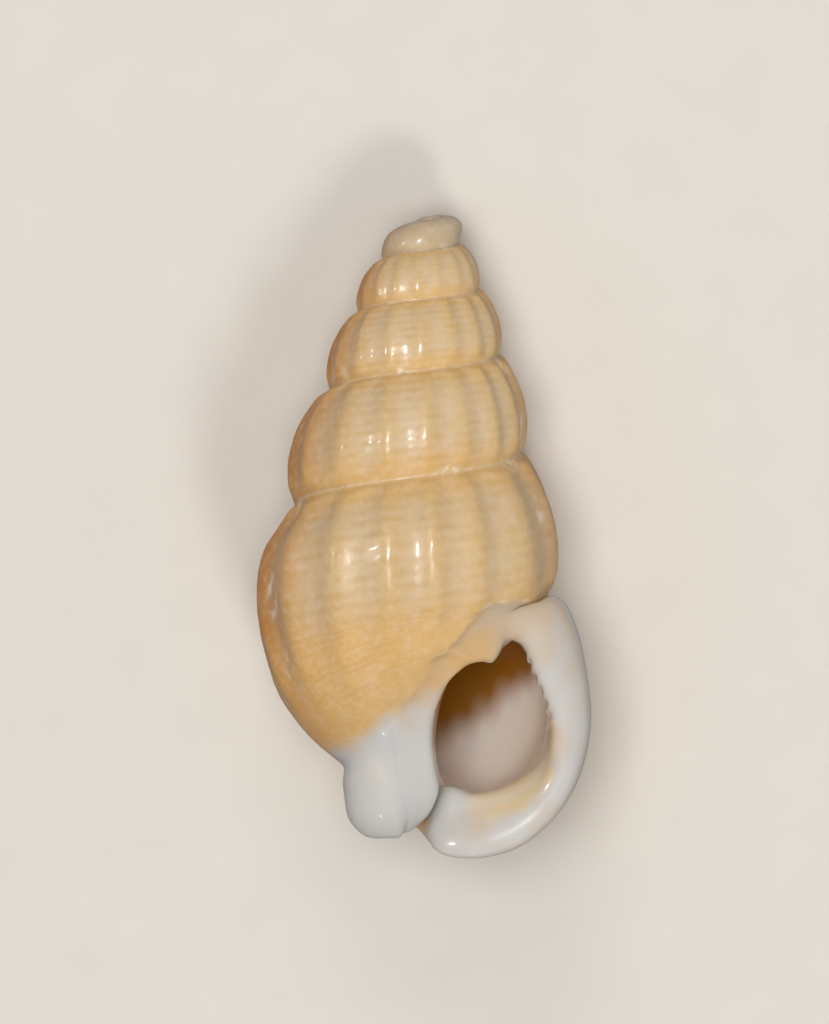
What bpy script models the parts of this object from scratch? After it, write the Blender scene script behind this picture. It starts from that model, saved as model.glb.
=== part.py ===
"""Shell of a small ribbed sea snail, lying on its back with the opening up.

Lengths at the top are in millimetres and angles in turns around the shell's axis. In the shell's own frame x points
right, depth h is measured from the tip along the axis, and z points out of the opening. A stage k is the age of the
growing edge in turns, and a level s runs from 0 at a whorl's upper seam to 1 at its lower seam, then on to 2 at the
foot of the column on the last whorl.
"""
import math

import bmesh
import bpy
import numpy as np
from mathutils import Matrix, Vector

# Growth of the seam between the whorls, in millimetres, and the shift and lean of the tip; the whole shell comes to
# 10.9 mm along its axis
SEAM_RADIUS = 1.515
SEAM_RADIUS_GROWTH = 1.2063
SEAM_RADIUS_OFFSET = 0.917
SEAM_DEPTH = 1.599
SEAM_DEPTH_GROWTH = 1.4691
SEAM_DEPTH_OFFSET = 1.170
TIP_DEPTH = 0.078
TIP_ROUNDING = 0.101
TIP_WIDTH = 1.25
TIP_SHIFT = 0.09
TIP_SHIFTED = (0.12, 0.45)
TIP_FALL = 0.32
TIP_PEAK = 0.20
TIP_FALL_REACH = 0.20

# Stages in turns: first whorl and the start of the last whorl, where the lip meets the whorl above
FIRST_STAGE = -1.9
LIP_STAGE = 3.08

# Swelling of a whorl over the straight line between its seams, as a share of that line
SWELL_STAGE = [-1.9, -1.0, -0.5, 0.5, 1.5, 2.0, 2.5, 3.1]
SWELL = [0.30, 0.36, 0.24, 0.155, 0.145, 0.14, 0.158, 0.135]
SHOULDER_STAGE = [-1.0, 0.3, 2.4, 3.1]
SHOULDER = [0.62, 0.80, 0.84, 0.95]
FOOT_POWER = 0.80

# Last whorl: radius and depth in millimetres at four angles, one row for each level
LEVELS = [0.0, 0.12, 0.35, 0.65, 1.0, 1.25, 1.4, 1.52, 1.7, 1.85, 1.94, 2.0]
STATIONS = [3.25, 3.5, 3.75, 4.0]
LAST_RADIUS = [
    None,
    [2.07, 2.16, 2.31, 2.47],
    [2.37, 2.48, 2.59, 2.70],
    [2.47, 2.56, 2.65, 2.75],
    [2.37, 2.35, 2.48, 2.60],
    [1.98, 2.02, 2.07, 2.26],
    [1.49, 1.59, 1.60, 1.76],
    [1.08, 1.00, 0.98, 1.18],
    [0.90, 0.81, 0.76, 0.68],
    [0.63, 0.63, 0.54, 0.44],
    [0.32, 0.34, 0.29, 0.24],
    [0.0, 0.0, 0.0, 0.0],
]
LAST_DEPTH = [
    None,
    [4.79, 5.37, 6.01, 6.69],
    [5.35, 5.94, 6.64, 7.34],
    [6.06, 6.75, 7.51, 8.33],
    [6.85, 7.63, 8.46, 9.47],
    [7.75, 8.39, 9.24, 10.15],
    [8.36, 8.87, 9.68, 10.49],
    [8.85, 9.31, 9.96, 10.62],
    [9.73, 9.81, 10.15, 10.52],
    [10.37, 10.42, 10.42, 10.42],
    [10.61, 10.64, 10.57, 10.49],
    [10.59, 10.59, 10.59, 10.59],
]
CENTRE_LEVEL = [1.25, 1.52, 1.7, 1.85, 2.0]
CENTRE = [(0.0, 0.0), (-0.07, 0.0), (-0.17, 0.0), (-0.17, -0.07), (-0.07, -0.17)]

# Inner side of the opening, from the lip's top to the foot: (x, h, z) of the callus edge, the rim and the ledge
CALLUS_LEVEL = [1.0, 1.03, 1.07, 1.12, 1.16, 1.2, 1.25, 1.3, 1.35, 1.4, 1.46, 1.53, 1.62, 1.71, 1.79, 1.86, 1.93, 2.0]
CALLUS_EDGE = [
    (2.07, 6.59, 1.12), (1.86, 6.65, 1.42), (1.59, 6.76, 1.69), (1.28, 6.93, 1.89), (1.09, 7.08, 1.98),
    (0.89, 7.26, 2.01), (0.56, 7.48, 2.01), (0.31, 7.84, 1.84), (0.11, 8.13, 1.67), (-0.08, 8.38, 1.47),
    (-0.14, 8.70, 1.23), (-0.10, 9.03, 1.05), (0.00, 9.46, 0.91), (0.12, 9.86, 0.74), (0.20, 10.15, 0.51),
    (0.20, 10.32, 0.27), (0.12, 10.47, 0.05), (-0.07, 10.59, -0.17),
]
CALLUS_RIM = [
    (1.77, 7.24, 1.32), (1.71, 7.29, 1.37), (1.64, 7.38, 1.44), (1.54, 7.50, 1.52), (1.40, 7.60, 1.62),
    (1.27, 7.55, 1.71), (1.05, 7.60, 1.76), (0.85, 7.75, 1.71), (0.69, 7.94, 1.61), (0.59, 8.17, 1.42),
    (0.50, 8.49, 1.18), (0.49, 8.90, 0.93), (0.57, 9.37, 0.68), (0.63, 9.68, 0.44), (0.54, 9.93, 0.20),
    (0.41, 10.12, 0.00), (0.20, 10.29, -0.17), (0.07, 10.39, -0.27),
]
CALLUS_LEDGE = [
    (1.77, 7.26, 1.05), (1.71, 7.33, 1.12), (1.62, 7.40, 1.20), (1.50, 7.50, 1.28), (1.35, 7.58, 1.37),
    (1.22, 7.53, 1.44), (1.01, 7.58, 1.47), (0.79, 7.75, 1.42), (0.64, 7.95, 1.32), (0.54, 8.19, 1.12),
    (0.46, 8.51, 0.85), (0.46, 8.93, 0.57), (0.54, 9.37, 0.34), (0.59, 9.59, 0.19), (0.52, 9.74, 0.05),
    (0.46, 9.80, -0.03), (0.39, 9.81, -0.08), (0.34, 9.83, -0.10),
]

# Outer side of the opening, from the lip's top down around the lip to the foot: outer contour, rim and ledge
LIP_LEVEL = [0.0, 0.07, 0.15, 0.25, 0.4, 0.55, 0.7, 0.85, 1.0, 1.12, 1.25, 1.38, 1.5, 1.6, 1.7, 1.85, 1.94, 2.0]
LIP_EDGE = [
    (2.07, 6.59, 1.12), (2.32, 6.42, 0.96), (2.57, 6.52, 0.91), (2.79, 6.91, 0.86), (3.01, 7.67, 0.81),
    (3.13, 8.39, 0.78), (3.09, 9.02, 0.74), (2.91, 9.64, 0.71), (2.52, 10.25, 0.68), (2.06, 10.64, 0.63),
    (1.49, 10.84, 0.54), (0.98, 10.86, 0.37), (0.66, 10.76, 0.20), (0.51, 10.62, -0.07), (0.30, 10.44, -0.34),
    (0.00, 10.30, -0.56), (-0.14, 10.44, -0.42), (-0.07, 10.59, -0.17),
]
LIP_RIM = [
    (1.77, 7.24, 1.32), (1.89, 7.28, 1.22), (2.01, 7.41, 1.15), (2.13, 7.68, 1.08), (2.33, 8.09, 1.01),
    (2.45, 8.51, 0.98), (2.47, 8.97, 0.95), (2.42, 9.34, 0.88), (2.16, 9.73, 0.81), (1.77, 9.96, 0.74),
    (1.32, 10.05, 0.64), (0.91, 10.15, 0.51), (0.78, 10.42, 0.34), (0.57, 10.45, 0.03), (0.41, 10.29, -0.19),
    (0.14, 10.18, -0.41), (0.02, 10.25, -0.37), (0.07, 10.39, -0.27),
]
LIP_LEDGE = [
    (1.77, 7.26, 1.05), (1.91, 7.31, 0.93), (2.04, 7.45, 0.85), (2.18, 7.70, 0.78), (2.38, 8.11, 0.71),
    (2.50, 8.53, 0.68), (2.52, 8.97, 0.64), (2.47, 9.34, 0.59), (2.20, 9.68, 0.54), (1.79, 9.90, 0.51),
    (1.25, 9.96, 0.47), (1.01, 9.81, 0.34), (0.81, 9.78, 0.24), (0.68, 9.78, 0.14), (0.57, 9.80, 0.05),
    (0.46, 9.81, -0.03), (0.39, 9.83, -0.08), (0.34, 9.83, -0.10),
]

# Hollow behind the opening: half width, half height and lean of its oval section, and where its sections stand
HOLLOW_HALF_WIDTH = 0.88
HOLLOW_HALF_HEIGHT = 1.49
HOLLOW_LEAN = 0.32
HOLLOW_RADIUS = 1.487
HOLLOW_DEPTH = 7.717
HOLLOW_STAGES = [3.93, 3.8, 3.65, 3.5, 3.38, 3.3]
HOLLOW_KEYS = [0.0, 0.35, 1.3, 2.1, 3.0, 3.9, 4.6, 5.1]

# Ribs: their count against the stage in turns, their height in millimetres, and the swelling behind the lip
RIB_STAGE = [-2.0, 0.286, 1.2708, 2.2542, 3.064, 3.139, 3.193, 3.247, 3.297, 3.357, 3.44, 3.72, 4.0, 4.2]
RIB_COUNT = [-89.0, -50.0, -33.0, -16.0, -3.0, -2.0, -1.0, 0.0, 1.0, 2.0, 3.0, 7.4, 11.9, 15.0]
RIB_HEIGHT_STAGE = [-0.2, 0.3, 1.3, 2.3, 3.2, 4.0]
RIB_HEIGHT = [0.0, 0.034, 0.057, 0.074, 0.091, 0.091]
LIP_SWELLING = 0.085

# Number of steps: columns in a turn, levels on a whorl, levels on the base, rows of the lip and rows of the hollow
COLUMNS = 80
WHORL_STEPS = 6
BASE_STEPS = 11
LIP_ROWS = 5
HOLLOW_ROWS = 13

# Resting place: lean of the axis and roll about it in degrees, and the flat spots' depth in millimetres
REST_LEAN = -9.2
REST_ROLL = 6.0
FLAT_DEPTH = 0.12
METRES = 0.001
TURN = 2.0 * math.pi


def through(where, stops, values):
    """Smooth curve through values at stops: on each span a cubic with the slopes of its neighbours."""
    stops = np.asarray(stops, float)
    values = np.asarray(values, float)
    slopes = np.gradient(values, stops, axis=0)
    where = np.clip(np.asarray(where, float), stops[0], stops[-1])
    span = np.clip(np.searchsorted(stops, where, side="right") - 1, 0, len(stops) - 2)
    width = stops[span + 1] - stops[span]
    t = (where - stops[span]) / width
    if values.ndim > 1:
        t = t[..., None]
        width = width[..., None]
    start = (2.0 * t ** 3 - 3.0 * t ** 2 + 1.0) * values[span]
    leave = (t ** 3 - 2.0 * t ** 2 + t) * width * slopes[span]
    end = (3.0 * t ** 2 - 2.0 * t ** 3) * values[span + 1]
    arrive = (t ** 3 - t ** 2) * width * slopes[span + 1]
    return start + leave + end + arrive


def ease(low, high, where):
    """Smooth rise from 0 at low to 1 at high."""
    t = np.clip((where - low) / (high - low), 0.0, 1.0)
    return t * t * (3.0 - 2.0 * t)


def unit(vectors):
    """Vectors made one long."""
    return vectors / np.maximum(np.sqrt((vectors ** 2).sum(-1, keepdims=True)), 1e-9)


def seam(stage):
    """Radius and depth of the seam: both grow by a fixed factor a turn, rounded off at the tip."""
    stage = np.asarray(stage, float)
    rounded = 1.0 - np.exp(-((stage - FIRST_STAGE) / TIP_WIDTH) ** 2)
    radius = (SEAM_RADIUS * SEAM_RADIUS_GROWTH ** stage - SEAM_RADIUS_OFFSET) * rounded
    fall = SEAM_DEPTH * SEAM_DEPTH_GROWTH ** stage - SEAM_DEPTH_OFFSET
    depth = TIP_DEPTH + 0.5 * (fall + np.sqrt(fall * fall + TIP_ROUNDING ** 2))
    return np.stack([radius, depth], -1)


def spire_outline(stage, level):
    """Radius and depth on a whorl of the spire: the line between its seams plus a rounded swelling."""
    upper = seam(stage)
    lower = seam(stage + 1.0)
    line = lower - upper
    length = np.sqrt((line ** 2).sum(-1))
    outward = np.stack([line[..., 1], -line[..., 0]], -1) / length[..., None]
    swell = through(stage, SWELL_STAGE, SWELL)
    power = through(stage, SHOULDER_STAGE, SHOULDER)
    level = np.clip(level, 0.0, 1.0)
    peak = power / (power + FOOT_POWER)
    bulge = (level / peak) ** power * ((1.0 - level) / (1.0 - peak)) ** FOOT_POWER
    return upper + line * level[..., None] + outward * (swell * length * bulge)[..., None]


def last_outline(angle, level):
    """Radius and depth on the last whorl: curves through its rows, first around and then down."""
    first = spire_outline(np.full(len(LEVELS), LIP_STAGE), np.minimum(np.array(LEVELS), 1.0))
    stops = [LIP_STAGE] + STATIONS + [4.12]
    radius_rows = []
    depth_rows = []
    for number, row_level in enumerate(LEVELS):
        if number == 0:
            seams = seam(np.array(STATIONS + [4.12]))
            radius = [first[0, 0]] + list(seams[:, 0])
            depth = [first[0, 1]] + list(seams[:, 1])
        else:
            radius = list(LAST_RADIUS[number])
            depth = list(LAST_DEPTH[number])
            if row_level <= 1.0:
                radius = [first[number, 0]] + radius
                depth = [first[number, 1]] + depth
            else:
                radius = [1.6 * radius[0] - 0.6 * radius[1]] + radius
                depth = [1.6 * depth[0] - 0.6 * depth[1]] + depth
            radius.append(1.45 * radius[-1] - 0.45 * radius[-2])
            depth.append(1.45 * depth[-1] - 0.45 * depth[-2])
        radius_rows.append(through(angle, stops, radius))
        depth_rows.append(through(angle, stops, depth))
    return down_rows(level, np.array(radius_rows)), down_rows(level, np.array(depth_rows))


def down_rows(level, rows):
    """Smooth curve down the rows at each point's own level."""
    stops = np.array(LEVELS)
    slopes = np.gradient(rows, stops, axis=0)
    span = np.clip(np.searchsorted(stops, level, side="right") - 1, 0, len(stops) - 2)
    width = stops[span + 1] - stops[span]
    t = (level - stops[span]) / width
    here = np.take_along_axis(rows, span[None], 0)[0]
    there = np.take_along_axis(rows, (span + 1)[None], 0)[0]
    slope_here = np.take_along_axis(slopes, span[None], 0)[0]
    slope_there = np.take_along_axis(slopes, (span + 1)[None], 0)[0]
    start = (2.0 * t ** 3 - 3.0 * t ** 2 + 1.0) * here
    leave = (t ** 3 - 2.0 * t ** 2 + t) * width * slope_here
    end = (3.0 * t ** 2 - 2.0 * t ** 3) * there
    arrive = (t ** 3 - t ** 2) * width * slope_there
    return start + leave + end + arrive


def plain_point(angle, level, last):
    """Point (x, h, z) of the skin without ribs; last tells the last whorl from the spire."""
    spire = spire_outline(np.minimum(angle, LIP_STAGE), np.minimum(level, 1.0))
    radius, depth = last_outline(np.maximum(angle, LIP_STAGE), level)
    seam_level = np.minimum(level, 1.0)
    meeting = spire_outline(np.full(level.shape, LIP_STAGE), seam_level)
    radius_there, depth_there = last_outline(np.full(level.shape, LIP_STAGE), seam_level)
    share = (1.0 - ease(0.0, 0.22, np.clip(angle - LIP_STAGE, 0.0, 1.0))) * (1.0 - ease(1.0, 1.25, level))
    radius = np.where(last, radius + (meeting[..., 0] - radius_there) * share, spire[..., 0])
    depth = np.where(last, depth + (meeting[..., 1] - depth_there) * share, spire[..., 1])
    centre = through(level, CENTRE_LEVEL, CENTRE)
    centre_x = np.where(last, centre[..., 0], 0.0)
    centre_z = np.where(last, centre[..., 1], 0.0)
    x = centre_x + radius * np.cos(TURN * angle)
    z = centre_z + radius * np.sin(TURN * angle)
    x = x + TIP_SHIFT * (1.0 - ease(TIP_SHIFTED[0], TIP_SHIFTED[1], depth))
    fall = np.clip(TIP_FALL * (TIP_PEAK - x), 0.0, 0.8 * TIP_FALL_REACH)
    depth = depth + fall * np.clip(1.0 - depth / TIP_FALL_REACH, 0.0, 1.0)
    return np.stack([x, depth, z], -1)


def skin_normal(angle, level, last):
    """Outward direction of the skin without ribs, from its slopes around and down."""
    small = 1e-3
    above = np.maximum(level - small, 0.0)
    below = np.minimum(level + small, np.where(last, 2.0, 1.0))
    around = plain_point(angle + small, level, last) - plain_point(angle - small, level, last)
    down = plain_point(angle, below, last) - plain_point(angle, above, last)
    return unit(np.cross(around, down))


def edge_angle(level, levels, points, start):
    """Angle in turns, not below start, of an edge of the last whorl about its centre."""
    point = through(np.minimum(level, 1.985), levels, points)
    centre = through(np.minimum(level, 1.985), CENTRE_LEVEL, CENTRE)
    turns = np.arctan2(point[..., 2] - centre[..., 1], point[..., 0] - centre[..., 0]) / TURN
    return start + np.mod(turns - start, 1.0)


def column_angle(stage, level):
    """Angle of a point of the last whorl: its columns lean so that the first and the last lie on the edges."""
    share = np.clip(stage - LIP_STAGE, 0.0, 1.0)
    lead = np.where(level > 1.0, edge_angle(np.maximum(level, 1.0), CALLUS_LEVEL, CALLUS_EDGE, 2.75) - LIP_STAGE, 0.0)
    trail = edge_angle(level, LIP_LEVEL, LIP_EDGE, 3.4) - LIP_STAGE - 1.0
    return stage + lead * (1.0 - ease(0.0, 0.5, share)) + trail * ease(0.35, 1.0, share)


def rib_wave(angle, level):
    """Rounded crests and narrower hollows between them, from 0 to 1."""
    count = through(angle + 0.012 * (level - 0.4), RIB_STAGE, RIB_COUNT)
    wave = 0.5 + 0.5 * np.cos(TURN * count)
    return ((wave + 0.05) ** 0.7 - 0.05 ** 0.7) / (1.05 ** 0.7 - 0.05 ** 0.7)


def rib_height(angle):
    """Height of the ribs, growing with the whorls; the first smooth whorls have none."""
    return np.where(angle < 0.0, 0.0, through(angle, RIB_HEIGHT_STAGE, RIB_HEIGHT))


def spire_skin(stage, level):
    """Ribbed skin of the spire at stage and level."""
    last = np.zeros(stage.shape, bool)
    point = plain_point(stage, level, last)
    normal = skin_normal(stage, np.clip(level, 0.002, 0.998), last)
    share = ease(0.0, 0.10, level) * (1.0 - ease(0.86, 1.0, level))
    height = rib_height(stage) * share * (rib_wave(stage, level) - 0.6)
    return point + normal * height[..., None]


def last_skin(stage, level):
    """Ribbed skin of the last whorl, its first and last columns drawn onto the edges of callus and lip."""
    last = np.ones(stage.shape, bool)
    share = stage - LIP_STAGE
    angle = column_angle(stage, level)
    point = plain_point(angle, level, last)
    callus = through(np.maximum(level, 1.0), CALLUS_LEVEL, CALLUS_EDGE)
    lip = through(level, LIP_LEVEL, LIP_EDGE)
    first = plain_point(column_angle(np.full(stage.shape, LIP_STAGE), level), level, last)
    final = plain_point(column_angle(np.full(stage.shape, LIP_STAGE + 1.0), level), level, last)
    near_callus = (1.0 - ease(0.0, 0.10, share)) * (level > 1.0)
    near_lip = 1.0 - ease(0.0, 0.115, 1.0 - share)
    point = point + (callus - first) * near_callus[..., None] + (lip - final) * near_lip[..., None]
    normal = skin_normal(np.maximum(angle, LIP_STAGE + 0.002), np.clip(level, 0.002, 1.97), last)
    fade = ease(0.0, 0.10, level) * (1.0 - ease(1.0, 1.4, level)) * (1.0 - ease(0.86, 0.96, share))
    fade = fade * (1.0 - (1.0 - ease(0.02, 0.14, share)) * ease(0.85, 1.05, level))
    start = ease(0.0, 0.12, share)
    lower = 1.0 - ease(0.86, 1.0, level)
    fade = fade * np.where(level <= 1.0, lower * (1.0 - start) + start, start)
    height = rib_height(angle) * fade * (rib_wave(angle, level) - 0.6)
    swelling = np.exp(-((share - 0.945) / 0.026) ** 2) * ease(0.0, 0.15, level) * (1.0 - ease(1.0, 1.4, level))
    return point + normal * (height + LIP_SWELLING * swelling)[..., None]


def opening_rows(skin, levels):
    """Rows from the edges of callus and lip over the rim and down the hollow, each a closed loop of points."""
    inner = np.where(levels >= 1.0 - 1e-9)[0]
    edge = np.concatenate([skin[0, inner], skin[-1, ::-1][1:-1]])
    before = np.concatenate([skin[1, inner], skin[-2, ::-1][1:-1]])
    callus_levels = levels[inner]
    lip_levels = levels[::-1][1:-1]
    rim = np.concatenate([through(callus_levels, CALLUS_LEVEL, CALLUS_RIM), through(lip_levels, LIP_LEVEL, LIP_RIM)])
    ledge_parts = [through(callus_levels, CALLUS_LEVEL, CALLUS_LEDGE), through(lip_levels, LIP_LEVEL, LIP_LEDGE)]
    ledge = np.concatenate(ledge_parts)
    count = len(edge)
    leave = unit(edge - before)
    order = np.arange(count)
    for pole in (0, len(inner) - 1):
        gap = np.minimum(np.abs(order - pole), count - np.abs(order - pole))
        mean = 0.5 * (leave[(pole - 2) % count] + leave[(pole + 2) % count])
        share = np.exp(-(gap / 1.2) ** 2)[:, None]
        leave = unit(leave * (1.0 - share) + mean * share)
    gap = np.minimum(order, count - order)
    share = np.exp(-(gap / 1.6) ** 2)[:, None]
    leave = unit(leave * (1.0 - share) + unit(np.array([0.0, -0.75, 0.7])) * share)
    for _ in range(2):
        leave = unit(0.5 * leave + 0.25 * np.roll(leave, 1, 0) + 0.25 * np.roll(leave, -1, 0))
    enter = unit(ledge - rim)
    reach = 0.6 * np.sqrt(((rim - edge) ** 2).sum(-1, keepdims=True))
    rows = []
    for t in np.linspace(0.0, 1.0, LIP_ROWS + 1)[1:]:
        row = (1.0 - t) ** 3 * edge + 3.0 * (1.0 - t) ** 2 * t * (edge + reach * leave)
        row = row + 3.0 * (1.0 - t) * t * t * (rim - reach * enter) + t ** 3 * rim
        rows.append(row)
    keys = [rim, ledge] + hollow_sections(ledge)
    steps = np.linspace(0.0, 1.0, HOLLOW_ROWS + 1)[1:] ** 1.15 * HOLLOW_KEYS[-1]
    rows.extend(through(steps, HOLLOW_KEYS, np.array(keys).reshape(len(keys), -1)).reshape(len(steps), count, 3))
    return rows


def hollow_sections(ledge):
    """Oval sections of the hollow, shrinking back along the coil as the shell itself does."""
    piece = np.sqrt(((np.roll(ledge, -1, 0) - ledge) ** 2).sum(-1))
    around = TURN * np.concatenate([[0.0], np.cumsum(piece)[:-1]]) / piece.sum()
    sections = []
    for stage in HOLLOW_STAGES:
        across = -HOLLOW_HALF_WIDTH * np.sin(around)
        along = -HOLLOW_HALF_HEIGHT * np.cos(around)
        side = across * math.cos(HOLLOW_LEAN) - along * math.sin(HOLLOW_LEAN)
        down = across * math.sin(HOLLOW_LEAN) + along * math.cos(HOLLOW_LEAN)
        grown = stage - 3.75
        radius = (HOLLOW_RADIUS + side + SEAM_RADIUS_OFFSET) * SEAM_RADIUS_GROWTH ** grown - SEAM_RADIUS_OFFSET
        depth = (HOLLOW_DEPTH + down + 1.093) * SEAM_DEPTH_GROWTH ** grown - 1.093
        turned = TURN * stage
        sections.append(np.stack([radius * math.cos(turned), depth, radius * math.sin(turned)], -1))
    return sections


def to_vector(point):
    """Point (x, h, z) in millimetres as a position in metres, depth running along -Y."""
    return Vector((point[0] * METRES, -point[1] * METRES, point[2] * METRES))


def extrude_row(mesh, row, points, closed):
    """Extrudes the edges between neighbours in row and puts the new corners at points."""
    edges = []
    count = len(row)
    for number in range(count if closed else count - 1):
        edges.append(mesh.edges.get((row[number], row[(number + 1) % count])))
    made = bmesh.ops.extrude_edge_only(mesh, edges=edges)
    fresh = {item for item in made["geom"] if isinstance(item, bmesh.types.BMVert)}
    following = []
    for corner, point in zip(row, points):
        partner = next(e.other_vert(corner) for e in corner.link_edges if e.other_vert(corner) in fresh)
        partner.co = to_vector(point)
        following.append(partner)
    return following


def first_row(mesh, points):
    """Chain of edges through points."""
    row = [mesh.verts.new(to_vector(point)) for point in points]
    for start, end in zip(row[:-1], row[1:]):
        mesh.edges.new((start, end))
    return row


def boundary_loop(mesh, start):
    """Open edge loop through start, in order."""
    loop = [start]
    edge = next(e for e in start.link_edges if e.is_boundary)
    corner = edge.other_vert(start)
    while corner is not start:
        loop.append(corner)
        edge = next(e for e in corner.link_edges if e.is_boundary and e is not edge)
        corner = edge.other_vert(corner)
    return loop


def close_with_fan(mesh, loop, tip):
    """Extrudes a loop and gathers the new corners in one tip."""
    following = extrude_row(mesh, loop, [tip] * len(loop), True)
    bmesh.ops.pointmerge(mesh, verts=following, merge_co=to_vector(tip))


def build_shell(mesh):
    """Skin extruded column by column along the coil, welded at the seams, then the lip, hollow and tip."""
    whorl_levels = np.linspace(0.0, 1.0, WHORL_STEPS + 1)
    levels = np.concatenate([whorl_levels, np.linspace(1.0, 2.0, BASE_STEPS + 1)[1:]])
    spire_count = int(round((LIP_STAGE - FIRST_STAGE) * COLUMNS))
    stages = LIP_STAGE - np.arange(spire_count, -1, -1) / COLUMNS
    spire = spire_skin(*np.meshgrid(stages, whorl_levels, indexing="ij"))
    last_stages = LIP_STAGE + np.arange(COLUMNS + 1) / COLUMNS
    last = last_skin(*np.meshgrid(last_stages, levels, indexing="ij"))
    last[0, :WHORL_STEPS + 1] = spire[-1]
    seam_start = spire_count + 1 - COLUMNS
    last[1:, 0] = spire[seam_start:, -1]
    last[:, -1] = last[0, -1]
    row = first_row(mesh, spire[0])
    for number in range(1, spire_count + 1):
        row = extrude_row(mesh, row, spire[number], False)
    tail = first_row(mesh, last[0, WHORL_STEPS:])
    mesh.verts.ensure_lookup_table()
    row = row[:-1] + tail
    mesh.edges.new((row[WHORL_STEPS - 1], tail[0]))
    for number in range(1, COLUMNS + 1):
        row = extrude_row(mesh, row, last[number], False)
    bmesh.ops.remove_doubles(mesh, verts=mesh.verts[:], dist=1e-7)
    mesh.verts.ensure_lookup_table()
    return last, levels


def nearest(mesh, point):
    """Corner of the mesh nearest to point."""
    place = to_vector(point)
    return min(mesh.verts, key=lambda corner: (corner.co - place).length_squared)


def ordered(mesh, points):
    """Corners of the mesh that lie at points."""
    return [nearest(mesh, point) for point in points]


def add_opening(mesh, last, levels):
    """Extrudes the loop of callus edge and lip edge over the rim and down the hollow, and closes its far end."""
    inner = np.where(levels >= 1.0 - 1e-9)[0]
    edge = np.concatenate([last[0, inner], last[-1, ::-1][1:-1]])
    row = ordered(mesh, edge)
    rows = opening_rows(last, levels)
    for points in rows:
        row = extrude_row(mesh, row, points, True)
    close_with_fan(mesh, row, rows[-1].mean(0))


def add_tip(mesh):
    """Closes the small opening at the tip with a fan."""
    start = min((v for v in mesh.verts if v.is_boundary), key=lambda v: -v.co.y)
    loop = boundary_loop(mesh, start)
    middle = sum((corner.co for corner in loop), Vector()) / len(loop)
    close_with_fan(mesh, loop, (middle.x / METRES, -middle.y / METRES - 0.017, middle.z / METRES))


def rest(mesh):
    """Turns the shell to its resting pose, stands it on the floor and cuts its flat spots."""
    lean = Matrix.Rotation(math.radians(REST_LEAN), 3, "X")
    roll = Matrix.Rotation(math.radians(REST_ROLL), 3, "Y")
    bmesh.ops.rotate(mesh, verts=mesh.verts[:], cent=(0.0, 0.0, 0.0), matrix=lean @ roll)
    lowest = min(v.co.z for v in mesh.verts) + FLAT_DEPTH * METRES
    everything = mesh.verts[:] + mesh.edges[:] + mesh.faces[:]
    bmesh.ops.bisect_plane(mesh, geom=everything, plane_co=(0.0, 0.0, lowest), plane_no=(0.0, 0.0, -1.0),
                           clear_outer=True)
    bmesh.ops.holes_fill(mesh, edges=[e for e in mesh.edges if e.is_boundary], sides=0)
    low = [min(v.co[axis] for v in mesh.verts) for axis in range(3)]
    high = [max(v.co[axis] for v in mesh.verts) for axis in range(3)]
    middle = Vector((-(low[0] + high[0]) / 2.0, -(low[1] + high[1]) / 2.0, -low[2]))
    bmesh.ops.translate(mesh, verts=mesh.verts[:], vec=middle)


def shell_material():
    """Glossy tan shell."""
    material = bpy.data.materials.new("shell")
    material.use_nodes = True
    surface = material.node_tree.nodes["Principled BSDF"]
    surface.inputs["Base Color"].default_value = (0.79, 0.52, 0.24, 1.0)
    surface.inputs["Roughness"].default_value = 0.3
    return material


def main():
    """Builds the one solid."""
    for thing in list(bpy.data.objects):
        bpy.data.objects.remove(thing)
    mesh = bmesh.new()
    last, levels = build_shell(mesh)
    add_opening(mesh, last, levels)
    add_tip(mesh)
    rest(mesh)
    bmesh.ops.recalc_face_normals(mesh, faces=mesh.faces[:])
    data = bpy.data.meshes.new("shell")
    mesh.to_mesh(data)
    mesh.free()
    data.materials.append(shell_material())
    thing = bpy.data.objects.new("shell", data)
    bpy.context.scene.collection.objects.link(thing)
    return thing


main()
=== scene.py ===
"""Visual model of a small ribbed sea snail shell, lying on its back with the opening up.

Lengths are in millimetres until the mesh is made, and angles are in turns around the shell's axis. In the
shell's own frame x points right, depth h is measured from the tip along the axis, and z points out of the
opening. A stage is the age of the growing edge in turns. A level runs from 0 at a whorl's upper seam to 1 at
its lower seam, then on to 2 at the foot of the column on the last whorl. A share runs from 0 to 1 around
the last whorl. Every surface is a grid of points worked out from stage and level. Pairs of numbers given to
ease are where something starts and where it is complete.
"""
import math

import bpy
import numpy as np
from mathutils import Matrix


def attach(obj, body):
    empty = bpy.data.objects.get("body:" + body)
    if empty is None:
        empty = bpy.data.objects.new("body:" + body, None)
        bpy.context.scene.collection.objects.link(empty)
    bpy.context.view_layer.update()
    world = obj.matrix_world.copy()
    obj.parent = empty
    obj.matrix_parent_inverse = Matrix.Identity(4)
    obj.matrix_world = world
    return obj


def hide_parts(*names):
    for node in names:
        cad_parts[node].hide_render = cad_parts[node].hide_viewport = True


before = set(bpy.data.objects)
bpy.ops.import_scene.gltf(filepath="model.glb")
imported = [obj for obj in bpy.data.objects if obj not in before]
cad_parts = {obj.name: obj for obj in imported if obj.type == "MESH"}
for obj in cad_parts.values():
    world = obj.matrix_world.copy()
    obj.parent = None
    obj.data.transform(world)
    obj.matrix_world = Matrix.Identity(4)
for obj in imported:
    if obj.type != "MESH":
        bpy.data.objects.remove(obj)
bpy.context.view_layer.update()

# Growth of the seam between the whorls, and the tip's rounding, sideways shift and fall
SEAM_RADIUS = 1.515
SEAM_RADIUS_GROWTH = 1.2063
SEAM_RADIUS_OFFSET = 0.917
SEAM_DEPTH = 1.599
SEAM_DEPTH_GROWTH = 1.4691
SEAM_DEPTH_OFFSET = 1.170
TIP_DEPTH = 0.078
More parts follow.
